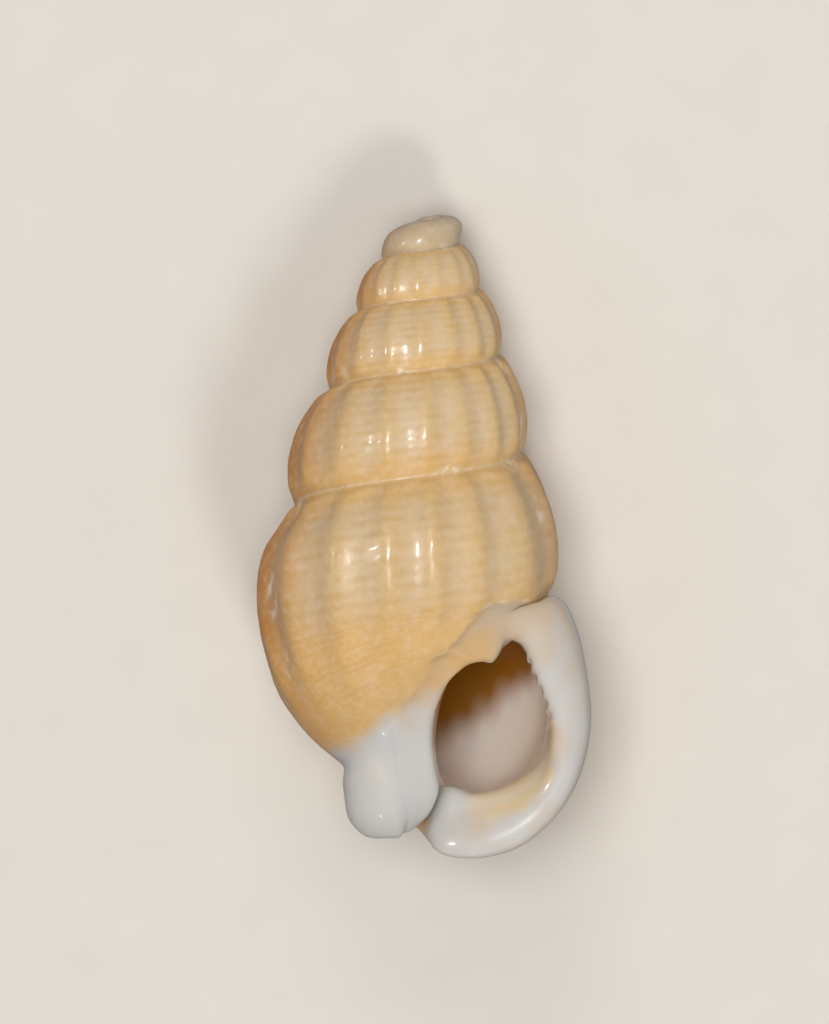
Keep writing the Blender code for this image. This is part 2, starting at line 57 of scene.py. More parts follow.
TIP_ROUNDING = 0.101
TIP_WIDTH = 1.25
TIP_SHIFT = 0.09
TIP_SHIFTED = (0.12, 0.45)
TIP_FALL = 0.32
TIP_PEAK = 0.20
TIP_FALL_REACH = 0.20
TIP_FALL_MOST = 0.8
FIRST_STAGE = -1.9
LIP_STAGE = 3.08
END_STAGE = 4.12

# Swelling of a whorl over the straight line between its seams
SWELL_STAGE = [-1.9, -1.0, -0.5, 0.5, 1.5, 2.0, 2.5, 3.1]
SWELL = [0.30, 0.36, 0.24, 0.155, 0.145, 0.14, 0.158, 0.135]
SHOULDER_STAGE = [-1.0, 0.3, 2.4, 3.1]
SHOULDER = [0.62, 0.80, 0.84, 0.95]
FOOT_POWER = 0.80

# Last whorl: radius and depth at four angles, one row for each level
LEVELS = [0.0, 0.12, 0.35, 0.65, 1.0, 1.25, 1.4, 1.52, 1.7, 1.85, 1.94, 2.0]
STATIONS = [3.25, 3.5, 3.75, 4.0]
LAST_RADIUS = [
    None,
    [2.07, 2.16, 2.31, 2.47],
    [2.37, 2.48, 2.59, 2.70],
    [2.47, 2.56, 2.65, 2.75],
    [2.37, 2.35, 2.48, 2.60],
    [1.98, 2.02, 2.07, 2.26],
    [1.49, 1.59, 1.60, 1.76],
    [1.08, 1.00, 0.98, 1.18],
    [0.90, 0.81, 0.76, 0.68],
    [0.63, 0.63, 0.54, 0.44],
    [0.32, 0.34, 0.29, 0.24],
    [0.0, 0.0, 0.0, 0.0],
]
LAST_DEPTH = [
    None,
    [4.79, 5.37, 6.01, 6.69],
    [5.35, 5.94, 6.64, 7.34],
    [6.06, 6.75, 7.51, 8.33],
    [6.85, 7.63, 8.46, 9.47],
    [7.75, 8.39, 9.24, 10.15],
    [8.36, 8.87, 9.68, 10.49],
    [8.85, 9.31, 9.96, 10.62],
    [9.73, 9.81, 10.15, 10.52],
    [10.37, 10.42, 10.42, 10.42],
    [10.61, 10.64, 10.57, 10.49],
    [10.59, 10.59, 10.59, 10.59],
]
CENTRE_LEVEL = [1.25, 1.52, 1.7, 1.85, 2.0]
CENTRE = [(0.0, 0.0), (-0.07, 0.0), (-0.17, 0.0), (-0.17, -0.07), (-0.07, -0.17)]

# Last whorl: how far its rows run on past their ends, and the spans over which it leaves the spire's outline
RUN_BEFORE = 0.6
RUN_AFTER = 0.45
JOIN_SHARE = (0.0, 0.22)
JOIN_LEVEL = (1.0, 1.25)

# Last whorl's columns: where its two edges are looked for, and the spans over which the columns lean to them
CALLUS_START = 2.75
LIP_START = 3.4
LEAD_SHARE = (0.0, 0.5)
TRAIL_SHARE = (0.35, 1.0)
NEAR_CALLUS = (0.0, 0.10)
NEAR_LIP = (0.0, 0.115)
NEAR_FOOT = 1.985
NORMAL_FOOT = 1.97
NORMAL_EDGE = 0.002
FAR = 9.0

# Inner side of the opening, from the lip's top to the foot: callus edge, rim and ledge as (x, h, z)
CALLUS_LEVEL = [
    1.0, 1.03, 1.07, 1.12, 1.16, 1.2, 1.25, 1.3, 1.35, 1.4, 1.46, 1.53, 1.62, 1.71, 1.79, 1.86, 1.93, 2.0,
]
CALLUS_EDGE = [
    (2.07, 6.59, 1.12), (1.86, 6.65, 1.42), (1.59, 6.76, 1.69), (1.28, 6.93, 1.89), (1.09, 7.08, 1.98),
    (0.89, 7.26, 2.01), (0.56, 7.48, 2.01), (0.31, 7.84, 1.84), (0.11, 8.13, 1.67), (-0.08, 8.38, 1.47),
    (-0.14, 8.70, 1.23), (-0.10, 9.03, 1.05), (0.00, 9.46, 0.91), (0.12, 9.86, 0.74), (0.20, 10.15, 0.51),
    (0.20, 10.32, 0.27), (0.12, 10.47, 0.05), (-0.07, 10.59, -0.17),
]
CALLUS_RIM = [
    (1.76, 7.15, 1.32), (1.68, 7.19, 1.37), (1.60, 7.28, 1.45), (1.54, 7.42, 1.53), (1.42, 7.56, 1.62),
    (1.27, 7.55, 1.71), (1.05, 7.60, 1.76), (0.85, 7.75, 1.71), (0.69, 7.94, 1.61), (0.59, 8.17, 1.42),
    (0.50, 8.49, 1.18), (0.49, 8.90, 0.93), (0.57, 9.37, 0.68), (0.63, 9.68, 0.44), (0.54, 9.93, 0.20),
    (0.41, 10.12, 0.00), (0.20, 10.29, -0.17), (0.07, 10.39, -0.27),
]
CALLUS_LEDGE = [
    (1.76, 7.17, 1.05), (1.69, 7.23, 1.12), (1.59, 7.32, 1.20), (1.50, 7.44, 1.28), (1.37, 7.55, 1.37),
    (1.22, 7.53, 1.44), (1.01, 7.58, 1.47), (0.79, 7.75, 1.42), (0.64, 7.95, 1.32), (0.54, 8.19, 1.12),
    (0.46, 8.51, 0.85), (0.46, 8.93, 0.57), (0.54, 9.37, 0.34), (0.59, 9.59, 0.19), (0.52, 9.74, 0.05),
    (0.46, 9.80, -0.03), (0.39, 9.81, -0.08), (0.34, 9.83, -0.10),
]

# Outer side of the opening, from the lip's top down around the lip to the foot: outer contour, rim and ledge
LIP_LEVEL = [
    0.0, 0.07, 0.15, 0.25, 0.4, 0.55, 0.7, 0.85, 1.0, 1.12, 1.25, 1.38, 1.5, 1.6, 1.7, 1.85, 1.94, 2.0,
]
LIP_EDGE = [
    (2.07, 6.59, 1.12), (2.32, 6.42, 0.96), (2.57, 6.52, 0.91), (2.79, 6.91, 0.86), (3.01, 7.67, 0.81),
    (3.13, 8.39, 0.78), (3.09, 9.02, 0.74), (2.91, 9.64, 0.71), (2.52, 10.25, 0.68), (2.06, 10.64, 0.63),
    (1.49, 10.84, 0.54), (0.98, 10.86, 0.38), (0.66, 10.76, 0.22), (0.51, 10.62, 0.02), (0.30, 10.44, -0.34),
    (0.00, 10.30, -0.56), (-0.14, 10.44, -0.42), (-0.07, 10.59, -0.17),
]
LIP_RIM = [
    (1.76, 7.15, 1.32), (1.88, 7.21, 1.22), (2.01, 7.41, 1.15), (2.13, 7.68, 1.08), (2.33, 8.09, 1.01),
    (2.45, 8.51, 0.98), (2.47, 8.97, 0.95), (2.42, 9.34, 0.88), (2.16, 9.73, 0.81), (1.77, 9.96, 0.74),
    (1.32, 10.05, 0.64), (1.00, 10.13, 0.53), (0.76, 10.22, 0.41), (0.57, 10.28, 0.22), (0.40, 10.26, -0.16),
    (0.14, 10.18, -0.41), (0.02, 10.25, -0.37), (0.07, 10.39, -0.27),
]
LIP_LEDGE = [
    (1.76, 7.17, 1.05), (1.90, 7.25, 0.93), (2.04, 7.45, 0.85), (2.18, 7.70, 0.78), (2.38, 8.11, 0.71),
    (2.41, 8.55, 0.70), (2.37, 8.95, 0.66), (2.28, 9.25, 0.62), (2.02, 9.53, 0.58), (1.66, 9.73, 0.55),
    (1.22, 9.82, 0.50), (1.00, 9.79, 0.42), (0.81, 9.77, 0.33), (0.68, 9.78, 0.19), (0.57, 9.80, 0.03),
    (0.46, 9.81, -0.03), (0.39, 9.83, -0.08), (0.34, 9.83, -0.10),
]
OPENING_MIDDLE = (1.40, 8.90, 0.90)

# Rounding of the opening's rim: how far the arcs reach, the way they leave the lip's top, and the smoothing
RIM_REACH = 0.6
LEAVE_BLUR = 0.22
LEAVE_BLUR_AGAIN = 0.15
TOP_REACH = 0.45
TOP_LEAVE = (0.0, -0.75, 0.7)
TOP_BLUR = 0.40
TOP_SMOOTHINGS = 5

# Hollow behind the opening: its oval section and where its sections stand
HOLLOW_HALF_WIDTH = 0.88
HOLLOW_HALF_HEIGHT = 1.49
HOLLOW_LEAN = 0.32
HOLLOW_RADIUS = 1.487
HOLLOW_DEPTH = 7.717
HOLLOW_STAGES = [3.93, 3.8, 3.65, 3.5, 3.38, 3.3]
HOLLOW_KEYS = [0.0, 0.35, 1.3, 2.1, 3.0, 3.9, 4.6, 5.1]
HOLLOW_FIRST = 3.75
HOLLOW_DEPTH_OFFSET = 1.093
HOLLOW_CROWDING = 1.3

# Line across the opening, in x and h, above which the hollow turns brown, and the span over which it does:
# the brown is the wall's own colour deepened as painted shade
BROWN_SHADE_FROM = (0.572, 9.06)
BROWN_SHADE_SLANT = 0.82
BROWN_SHADE_SPAN = (-0.22, 0.26)
BROWN_SHADE_UNEVEN = 0.05

# Ribs: their count against the stage, their height, how full the crests and how round the grooves are, and
# the swelling behind the lip
RIB_STAGE = [
    -2.0, 0.185, 0.243, 0.3, 1.163, 1.221, 1.283, 1.347, 2.158, 2.211, 2.266, 2.327, 2.398,
    3.067, 3.147, 3.203, 3.25, 3.308, 3.372, 3.445, 3.72, 4.0, 4.2,
]
RIB_COUNT = [
    -89.0, -52.0, -51.0, -50.0, -35.0, -34.0, -33.0, -32.0, -18.0, -17.0, -16.0, -15.0, -14.0,
    -3.0, -2.0, -1.0, 0.0, 1.0, 2.0, 3.0, 7.4, 11.9, 15.0,
]
RIB_HEIGHT_STAGE = [-0.2, 0.3, 1.3, 2.3, 3.2, 4.0]
RIB_HEIGHT = [0.0, 0.028, 0.048, 0.070, 0.096, 0.100]
RIB_POWER = 0.65
GROOVE_ROUNDING = 0.13
RIB_LEAN = 0.012
RIB_MIDDLE = 0.4
RIB_REST = 0.6
RIB_SHOWING = 0.012
RIB_TOP = (0.0, 0.10)
RIB_FOOT = (0.86, 1.0)
RIB_BASE = (1.0, 1.4)
LAST_RIB = (0.86, 0.96)
FIRST_RIB = (0.0, 0.12)
LIP_SWELLING = 0.085
SWELLING_SHARE = 0.945
SWELLING_WIDTH = 0.026
SWELLING_TOP = (0.0, 0.15)
RIBBED = (-0.3, 0.5)

# Spiral cords: spacing and height against the stage, and their sway over the ribs just below the seam
CORD_STAGE = [0.0, 1.0, 2.0, 3.0, 4.0]
CORD_SPACING = [0.10, 0.13, 0.162, 0.22, 0.27]
CORD_HEIGHT = [0.0015, 0.002, 0.002, 0.0025, 0.0025]
CORD_SWAY = 0.10
CORD_SWAY_REACH = 0.45
CORD_TOP = (0.0, 0.05)
CORD_FOOT = (0.92, 1.0)
CORD_BASE = (1.30, 1.46)
LAST_CORD = (0.93, 0.985)
BEAD_LEAST = 0.55
CORD_LEAST = 0.25
CORD_STRONG = 1.7
CORD_STRONG_REACH = 0.30

# Crust along the seams and flakes on the sides: widths, spans and heights, and the height of the uneven skin
CRUST_WIDTH = 0.030
CRUST_WIDER = 0.022
CRUST_REACH = 0.16
CRUST_HEIGHT = 0.014
FLAKE_HEIGHT = 0.008
FLAKE_LEAST = 0.06
FLAKES_FROM = (0.10, 0.35)
FLAKES_TO = (0.55, 0.80)
UNEVEN_HEIGHT = 0.0018

# Bands of colour on a whorl: orange below the seam, above it and on the base, amber behind, grey at the tip;
# the amber, deepest at the sides and back, is partly painted shade of the shell's edges
ORANGE_TOP = (0.05, 0.24)
ORANGE_FOOT = (0.70, 0.95)
ORANGE_BASE = (0.80, 1.15)
TOP_ORANGE = 0.80
FOOT_ORANGE = 0.7
AMBER_SHADE_SPAN = (0.08, 0.62)
AMBER_SHADE_TURN = 0.03
GREY_SPAN = (-1.2, 0.35)

# Callus pad laid over the skin beside the opening: its upper border against the stage, and its thickness
PAD_STAGE = [3.083, 3.10, 3.138, 3.166, 3.176, 3.19, 3.207]
PAD_BORDER = [6.55, 6.50, 6.56, 6.73, 6.95, 7.22, 7.48]
PAD_HEIGHT = 0.05
PAD_WHITE_STAGE = [3.08, 3.14, 3.17, 3.19, 3.21]
PAD_WHITE = [0.50, 0.45, 0.26, 0.15, 0.10]
PAD_SPAN = (-0.02, 0.07)
PAD_START = (0.02, 0.35)
PAD_END = (3.207, 3.222)
PAD_FOOT = (1.28, 1.40)
PAD_UNEVEN = 0.02
PAD_LINE_WIDTH = 0.035
PAD_LINE_START = 6.30
PAD_LINE_HEIGHT = 0.012

# White of the column and the lip, and the crease between the column and the skin
WHITE_LEVEL = 1.42
WHITE_LOWER = 0.09
WHITE_BORDER = (0.950, 0.986)
CREASE_WIDTH = 0.07
CREASE_DEPTH = 0.04
CREASE_TOP = (1.40, 1.5)
CREASE_FOOT = (1.9, 1.98)
CALLUS_WHITE_LEVEL = [1.0, 1.06, 1.12, 1.2, 1.28, 1.36, 1.44, 1.5]
CALLUS_WHITE = [0.50, 0.46, 0.34, 0.14, 0.10, 0.3, 0.75, 1.0]
LIP_WHITE = 0.60
LIP_WHITER = 0.34
CANAL_TOP = (1.60, 1.68)
CANAL_FOOT = (1.93, 1.98)
GLAZE_TOP = (0.35, 0.62)
GLAZE_FOOT = (1.15, 1.40)

# Small teeth inside the outer lip: first level, spacing, count, height, sharpness and reach inwards
TOOTH_LEVEL = 0.17
TOOTH_SPACING = 0.078
TEETH = 6
TOOTH_HEIGHT = 0.070
TOOTH_SHARPNESS = 1.3
TOOTH_REST = 0.35
TOOTH_RIM = 8
TOOTH_LEDGE = 0.95

# Grid steps: columns in a turn, levels of the early and late whorls, the base and the foot, columns of the
# early and late whorls, and rows of the lip, the hollow and the tip
COLUMNS = 200
EARLY_STEPS = 35
LATE_STEPS = 70
BASE_STEPS = 38
FOOT_STEPS = 18
FOOT_LEVEL = 1.52
EARLY_TURNS = 596
LATE_TURNS = 400
LIP_ROWS = 14
HOLLOW_ROWS = 36
TIP_ROWS = 4
TIP_RISE = 0.012

# Resting place in the frame: lean, roll and shift of the whole shell
REST_LEAN = -9.2
REST_ROLL = 6.0
REST_SHIFT = (-0.2857, 5.3628, 1.3947)
METRES = 0.001
TURN = 2.0 * math.pi

# Camera: distance, photographed height, tilt of the shell's axis in the picture and the point looked at
CAMERA_DISTANCE = 300.0
PICTURE_HEIGHT = 17.306
PICTURE_TILT = 0.0462
LOOKED_AT = (0.010, -5.089, 0.3)

# Lamps, in millimetres from the row's origin and watts: soft ones as name, place, width, power and colour,
# and small ones that only make glints as place and power
SOFT_LAMPS = [
    ("broad_lamp", (0.0, 45.0, 340.0), 150.0, 0.74, "#FFFAF3"),
    ("high_lamp", (-10.0, 240.0, 200.0), 110.0, 0.17, "#FFFAF3"),
    ("low_lamp", (110.0, -150.0, 240.0), 60.0, 0.24, "#FFFDF8"),
]
GLINT_LAMPS = [((-34.0, 108.0, 285.0), 0.36), ((-245.0, 81.0, 171.0), 0.08), ((-68.0, -268.0, 160.0), 0.022)]
GLINT_LAMP_WIDTH = 7.0
SURROUNDINGS = 0.24

# Floor, in metres: half its width, its gap under the shell, and the waves of its specks to the metre
FLOOR_HALF = 0.6
FLOOR_GAP = 1e-5
FLOOR_SPECKS = 900.0

# Uneven fields: count of waves and what their sum is divided by, then each field's wave length and seed
WAVES = 8
WAVES_SPREAD = 2.83
CRUST_FIELD = (0.55, 11)
CRUST_GRAIN = (0.12, 12)
FLAKE_FIELD = (0.28, 21)
FLAKE_CLUSTERS = (0.9, 22)
SKIN_FIELD = (0.3, 31)
BEAD_FIELD = (0.7, 32)
CORD_FIELD = (0.4, 33)
PAD_FIELD = (0.5, 41)
PAD_LINE_FIELD = (0.2, 43)
LIP_FIELD = (0.6, 51)
GLAZE_FIELD = (0.4, 52)
HOLLOW_FIELD = (0.8, 61)
SHADE_FIELD = (0.9, 62)

# Patterns in the shell's material, in waves to the metre: clouds 0.67 mm long, blotches 0.15 mm, grains
# 0.06 mm and streaks 0.11 mm wide and 0.67 mm long
CLOUDS = 1500.0
BLOTCHES = 6500.0
GRAINS = 16000.0
STREAKS = (9000.0, 1500.0, 9000.0)

# Coats of the shell's material: mark, colour, strength, and how much the clouds and the streaks move it
COATS = [
    ("rib", "#DCCBB4", 0.36, 0.5, 0.3),
    # amber: partly the back's own deeper colour, partly painted shade of the sides and of the canal
    ("amber_and_painted_shade", "#BF7912", 1.00, 0.2, 0.1),
    ("orange", "#DCAE64", 0.60, 0.4, 0.2),
    ("grey", "#B4A690", 0.90, 0.2, 0.2),
    ("worn", "#EADFCE", 0.78, 0.0, 0.4),
    ("seam", "#EDE4D2", 0.90, 0.2, 0.2),
    ("pad", "#CAA46E", 0.85, 0.2, 0.1),
    ("white", "#C8C9CA", 0.95, 0.05, 0.05),
    # lining: paler than the lip's porcelain, partly painted light in the shaded hollow
    ("lining_and_painted_light", "#F3EBE4", 1.00, 0.1, 0.0),
    ("pale", "#EDE8E6", 0.60, 0.2, 0.0),
    # brown of the hollow: partly its own colour, partly painted shade
    ("brown_and_painted_shade", "#A87024", 1.00, 0.1, 0.0),
    ("glaze", "#DDC59A", 0.80, 0.3, 0.0),
]

# Kinds of node that the materials use most
NOISE = "ShaderNodeTexNoise"
MATH = "ShaderNodeMath"
MIX = "ShaderNodeMix"
MARK = "ShaderNodeAttribute"
SPREAD = "ShaderNodeMapRange"

MARKS = [
    "rib", "cord", "seam", "worn", "orange", "amber_and_painted_shade", "grey", "pad",
    "white", "lining_and_painted_light", "pale", "brown_and_painted_shade", "glaze",
]


def through(where, stops, values):
    """Smooth curve through values at stops: on each span a cubic with the slopes of its neighbours."""
    stops = np.asarray(stops, float)
    values = np.asarray(values, float)
    slopes = np.gradient(values, stops, axis=0)
    where = np.clip(np.asarray(where, float), stops[0], stops[-1])
    span = np.clip(np.searchsorted(stops, where, side="right") - 1, 0, len(stops) - 2)
    width = stops[span + 1] - stops[span]
    t = (where - stops[span]) / width
    if values.ndim > 1:
        t = t[..., None]
        width = width[..., None]
    return cubic(t, width, values[span], slopes[span], values[span + 1], slopes[span + 1])


def cubic(t, width, here, slope_here, there, slope_there):
    """Cubic over one span: end values and end slopes weighted by the four usual cubics of t."""
    start = (2.0 * t ** 3 - 3.0 * t ** 2 + 1.0) * here
    leave = (t ** 3 - 2.0 * t ** 2 + t) * width * slope_here
    end = (3.0 * t ** 2 - 2.0 * t ** 3) * there
    arrive = (t ** 3 - t ** 2) * width * slope_there
    return start + leave + end + arrive


def ease(low, high, where):
    """Smooth rise from 0 at low to 1 at high."""
    t = np.clip((where - low) / (high - low), 0.0, 1.0)
    return t * t * (3.0 - 2.0 * t)


def unit(vectors):
    """Vectors made one long."""
    return vectors / np.maximum(np.sqrt((vectors ** 2).sum(-1, keepdims=True)), 1e-9)


def ripple(point, size, seed):
    """Uneven field, mostly from -1 to 1: a sum of sine waves about size long in scattered directions."""
    random = np.random.default_rng(seed)
    total = np.zeros(point.shape[:-1])
    for _ in range(WAVES):
        way = unit(random.normal(size=3)) * TURN / (size * random.uniform(0.7, 1.5))
        total = total + np.sin(point @ way + random.uniform(0.0, TURN))
    return total / WAVES_SPREAD


def seam(stage):
    """Radius and depth of the seam: both grow by a fixed factor a turn, rounded off at the tip."""
    stage = np.asarray(stage, float)
    rounded = 1.0 - np.exp(-((stage - FIRST_STAGE) / TIP_WIDTH) ** 2)
    radius = (SEAM_RADIUS * SEAM_RADIUS_GROWTH ** stage - SEAM_RADIUS_OFFSET) * rounded
    fall = SEAM_DEPTH * SEAM_DEPTH_GROWTH ** stage - SEAM_DEPTH_OFFSET
    depth = TIP_DEPTH + 0.5 * (fall + np.sqrt(fall * fall + TIP_ROUNDING ** 2))
    return np.stack([radius, depth], -1)


def spire_outline(stage, level):
    """Radius and depth on a whorl of the spire: the line between its seams plus a rounded swelling."""
    upper = seam(stage)
    line = seam(stage + 1.0) - upper
    length = np.sqrt((line ** 2).sum(-1))
    outward = np.stack([line[..., 1], -line[..., 0]], -1) / length[..., None]
    swell = through(stage, SWELL_STAGE, SWELL)
    power = through(stage, SHOULDER_STAGE, SHOULDER)
    level = np.clip(level, 0.0, 1.0)
    peak = power / (power + FOOT_POWER)
    bulge = (level / peak) ** power * ((1.0 - level) / (1.0 - peak)) ** FOOT_POWER
    return upper + line * level[..., None] + outward * (swell * length * bulge)[..., None]


def last_outline(angle, level):
    """Radius and depth on the last whorl: curves through its rows, first around and then down."""
    first = spire_outline(np.full(len(LEVELS), LIP_STAGE), np.minimum(np.array(LEVELS), 1.0))
    stops = [LIP_STAGE] + STATIONS + [END_STAGE]
    rows = []
    for number, row_level in enumerate(LEVELS):
        if number == 0:
            seams = seam(np.array(STATIONS + [END_STAGE]))
            row = np.concatenate([first[:1], seams])
        else:
            row = np.stack([LAST_RADIUS[number], LAST_DEPTH[number]], -1)
            before = first[number]
            if row_level > 1.0:
                before = row[0] + RUN_BEFORE * (row[0] - row[1])
            after = row[-1] + RUN_AFTER * (row[-1] - row[-2])
            row = np.concatenate([[before], row, [after]])
        rows.append(through(angle, stops, row))
    rows = np.array(rows)
    return down_rows(level, rows[..., 0]), down_rows(level, rows[..., 1])


def down_rows(level, rows):
    """Smooth curve down the rows at each point's own level."""
    stops = np.array(LEVELS)
    slopes = np.gradient(rows, stops, axis=0)
    span = np.clip(np.searchsorted(stops, level, side="right") - 1, 0, len(stops) - 2)
    width = stops[span + 1] - stops[span]
    picked = []
    for table in (rows, slopes):
        picked.append(np.take_along_axis(table, span[None], 0)[0])
        picked.append(np.take_along_axis(table, (span + 1)[None], 0)[0])
    here, there, slope_here, slope_there = picked
    return cubic((level - stops[span]) / width, width, here, slope_here, there, slope_there)


def plain_point(angle, level, last):
    """Point (x, h, z) of the bare skin: the outline, or the last whorl's if last, turned about the axis."""
    spire = spire_outline(np.minimum(angle, LIP_STAGE), np.minimum(level, 1.0))
    centre = np.zeros(level.shape + (2,))
    radius = spire[..., 0]
    depth = spire[..., 1]
    if last:
        radius, depth = last_outline(np.maximum(angle, LIP_STAGE), level)
        seam_level = np.minimum(level, 1.0)
        meeting = spire_outline(np.full(level.shape, LIP_STAGE), seam_level)
        radius_there, depth_there = last_outline(np.full(level.shape, LIP_STAGE), seam_level)
        share = 1.0 - ease(*JOIN_SHARE, np.clip(angle - LIP_STAGE, 0.0, 1.0))
        share = share * (1.0 - ease(*JOIN_LEVEL, level))
        radius = radius + (meeting[..., 0] - radius_there) * share
        depth = depth + (meeting[..., 1] - depth_there) * share
        centre = through(level, CENTRE_LEVEL, CENTRE)
    x = centre[..., 0] + radius * np.cos(TURN * angle)
    z = centre[..., 1] + radius * np.sin(TURN * angle)
    x = x + TIP_SHIFT * (1.0 - ease(*TIP_SHIFTED, depth))
    fall = np.clip(TIP_FALL * (TIP_PEAK - x), 0.0, TIP_FALL_MOST * TIP_FALL_REACH)
    depth = depth + fall * np.clip(1.0 - depth / TIP_FALL_REACH, 0.0, 1.0)
    return np.stack([x, depth, z], -1)


def skin_normal(angle, level, last):
    """Outward direction of the bare skin: the cross product of its slopes around and down."""
    small = 1e-3
    above = np.maximum(level - small, 0.0)
    below = np.minimum(level + small, 2.0 if last else 1.0)
    around = plain_point(angle + small, level, last) - plain_point(angle - small, level, last)
    down = plain_point(angle, below, last) - plain_point(angle, above, last)
    return unit(np.cross(around, down))


def edge_angle(level, levels, points, start):
    """Angle, not below start, of an edge of the last whorl about its centre."""
    point = through(np.minimum(level, NEAR_FOOT), levels, points)
    centre = through(np.minimum(level, NEAR_FOOT), CENTRE_LEVEL, CENTRE)
    turns = np.arctan2(point[..., 2] - centre[..., 1], point[..., 0] - centre[..., 0]) / TURN
    return start + np.mod(turns - start, 1.0)


def column_angle(stage, level):
    """Angle of a point of the last whorl, whose columns lean so that first and last lie on the edges."""
    share = np.clip(stage - LIP_STAGE, 0.0, 1.0)
    lead = edge_angle(np.maximum(level, 1.0), CALLUS_LEVEL, CALLUS_EDGE, CALLUS_START) - LIP_STAGE
    lead = np.where(level > 1.0, lead, 0.0)
    trail = edge_angle(level, LIP_LEVEL, LIP_EDGE, LIP_START) - LIP_STAGE - 1.0
    return stage + lead * (1.0 - ease(*LEAD_SHARE, share)) + trail * ease(*TRAIL_SHARE, share)


def rib_wave(angle, level):
    """Rounded crests and narrower hollows from 0 to 1: a raised cosine to a power below one."""
    count = through(angle + RIB_LEAN * (level - RIB_MIDDLE), RIB_STAGE, RIB_COUNT)
    wave = 0.5 + 0.5 * np.cos(TURN * count)
    low = GROOVE_ROUNDING ** RIB_POWER
    return ((wave + GROOVE_ROUNDING) ** RIB_POWER - low) / ((1.0 + GROOVE_ROUNDING) ** RIB_POWER - low)


def rib_height(angle):
    """Height of the ribs, growing with the whorls; the first smooth whorls have none."""
    return np.where(angle < 0.0, 0.0, through(angle, RIB_HEIGHT_STAGE, RIB_HEIGHT))


def cord_wave(angle, below, wave):
    """Cords from 0 to 1: a raised cosine of the distance below the seam that sways with the ribs near it."""
    spacing = through(angle, CORD_STAGE, CORD_SPACING)
    sway = CORD_SWAY * (wave - 0.5) * np.exp(-below / CORD_SWAY_REACH)
    return 0.5 + 0.5 * np.cos(TURN * (below + sway) / spacing)


def distance_down(point):
    """Distance in each column from its first point: the running sum of its steps."""
    step = np.sqrt((np.diff(point, axis=1) ** 2).sum(-1))
    return np.concatenate([np.zeros((len(point), 1)), np.cumsum(step, axis=1)], axis=1)


def crusted(point, below, above):
    """White crust from 0 to 1: a thin line along the seams, thicker where an uneven field is high."""
    uneven = ripple(point, *CRUST_FIELD)
    fine = ripple(point, *CRUST_GRAIN)
    width = CRUST_WIDTH + CRUST_WIDER * ease(0.2, 1.2, uneven)
    line = np.exp(-(below / width) ** 2) + 0.8 * np.exp(-(above / (0.7 * width)) ** 2)
    near = np.exp(-(np.minimum(below, above) / CRUST_REACH) ** 2)
    patch = ease(0.75, 1.25, uneven) * near * ease(-0.2, 0.6, fine)
    return np.clip(line * (0.30 + 0.35 * ease(-0.6, 0.6, fine)) + 0.9 * patch, 0.0, 1.0)


def worn(point, wave, angle):
    """Pale flakes from 0 to 1 on the rib crests, mostly at the sides: where two uneven fields are high."""
    flakes = ease(-0.1, 0.9, ripple(point, *FLAKE_FIELD)) * ease(-0.1, 1.0, ripple(point, *FLAKE_CLUSTERS))
    behind = 0.5 - 0.5 * np.sin(TURN * angle)
    side = ease(*FLAKES_FROM, behind) * (1.0 - ease(*FLAKES_TO, behind))
    return flakes * wave ** 2 * (FLAKE_LEAST + (1.0 - FLAKE_LEAST) * side)


def skin_marks(point, angle, level, below, above, wave, share):
    """Marks of the skin for its colours, each from 0 to 1, and the height of cords, crust and flakes."""
    growth = ease(*RIBBED, angle)
    cord = cord_wave(angle, below, wave)
    beads = BEAD_LEAST + (1.0 - BEAD_LEAST) * wave
    cord_share = share * growth * ease(*CORD_TOP, below)
    crust = crusted(point, below, above) * (0.3 + 0.7 * growth)
    flakes = worn(point, wave, angle) * share * growth
    height = through(angle, CORD_STAGE, CORD_HEIGHT) * (cord - 0.5) * beads * cord_share
    height = height + CRUST_HEIGHT * crust + FLAKE_HEIGHT * flakes
    height = height + UNEVEN_HEIGHT * growth * share * ripple(point, *SKIN_FIELD)
    beaded = ease(-0.6, 1.0, ripple(point, *BEAD_FIELD))
    broken = CORD_LEAST + (1.0 - CORD_LEAST) * ease(-0.6, 0.8, ripple(point, *CORD_FIELD))
    broken = np.maximum(broken, CORD_STRONG * np.exp(-below / CORD_STRONG_REACH))
    marks = {
        "rib": wave * (1.0 - 0.26 * (1.0 - cord) * beaded) * share * growth + 0.35 * (1.0 - growth),
        "cord": 1.0 - (1.0 - cord) * cord_share * broken,
        "seam": crust,
        "worn": flakes,
        "orange": TOP_ORANGE * (1.0 - ease(*ORANGE_TOP, level)) + FOOT_ORANGE * ease(*ORANGE_FOOT, level),
        # Amber deepening toward the sides and back: partly the shell's own colour, partly painted shade of
        # its edges
        "amber_and_painted_shade": ease(*AMBER_SHADE_SPAN, 0.5 - 0.5 * np.sin(TURN * (angle + AMBER_SHADE_TURN))),
        "grey": 1.0 - ease(*GREY_SPAN, angle),
    }
    return marks, height


def spire_grid(stages, levels):
    """Grid of the spire: bare skin moved along its normal by ribs, cords and crust."""
    stage, level = np.meshgrid(stages, levels, indexing="ij")
    bare = plain_point(stage, level, False)
    normal = skin_normal(stage, np.clip(level, NORMAL_EDGE, 1.0 - NORMAL_EDGE), False)
    share = ease(*RIB_TOP, level) * (1.0 - ease(*RIB_FOOT, level))
    wave = rib_wave(stage, level)
    below = distance_down(bare)
    above = below[:, -1:] - below
    marks, fine = skin_marks(bare, stage, level, below, above, wave, 1.0 - ease(*CORD_FOOT, level))
    height = rib_height(stage) * share * (wave - RIB_REST) + fine
    return bare + normal * height[..., None], marks


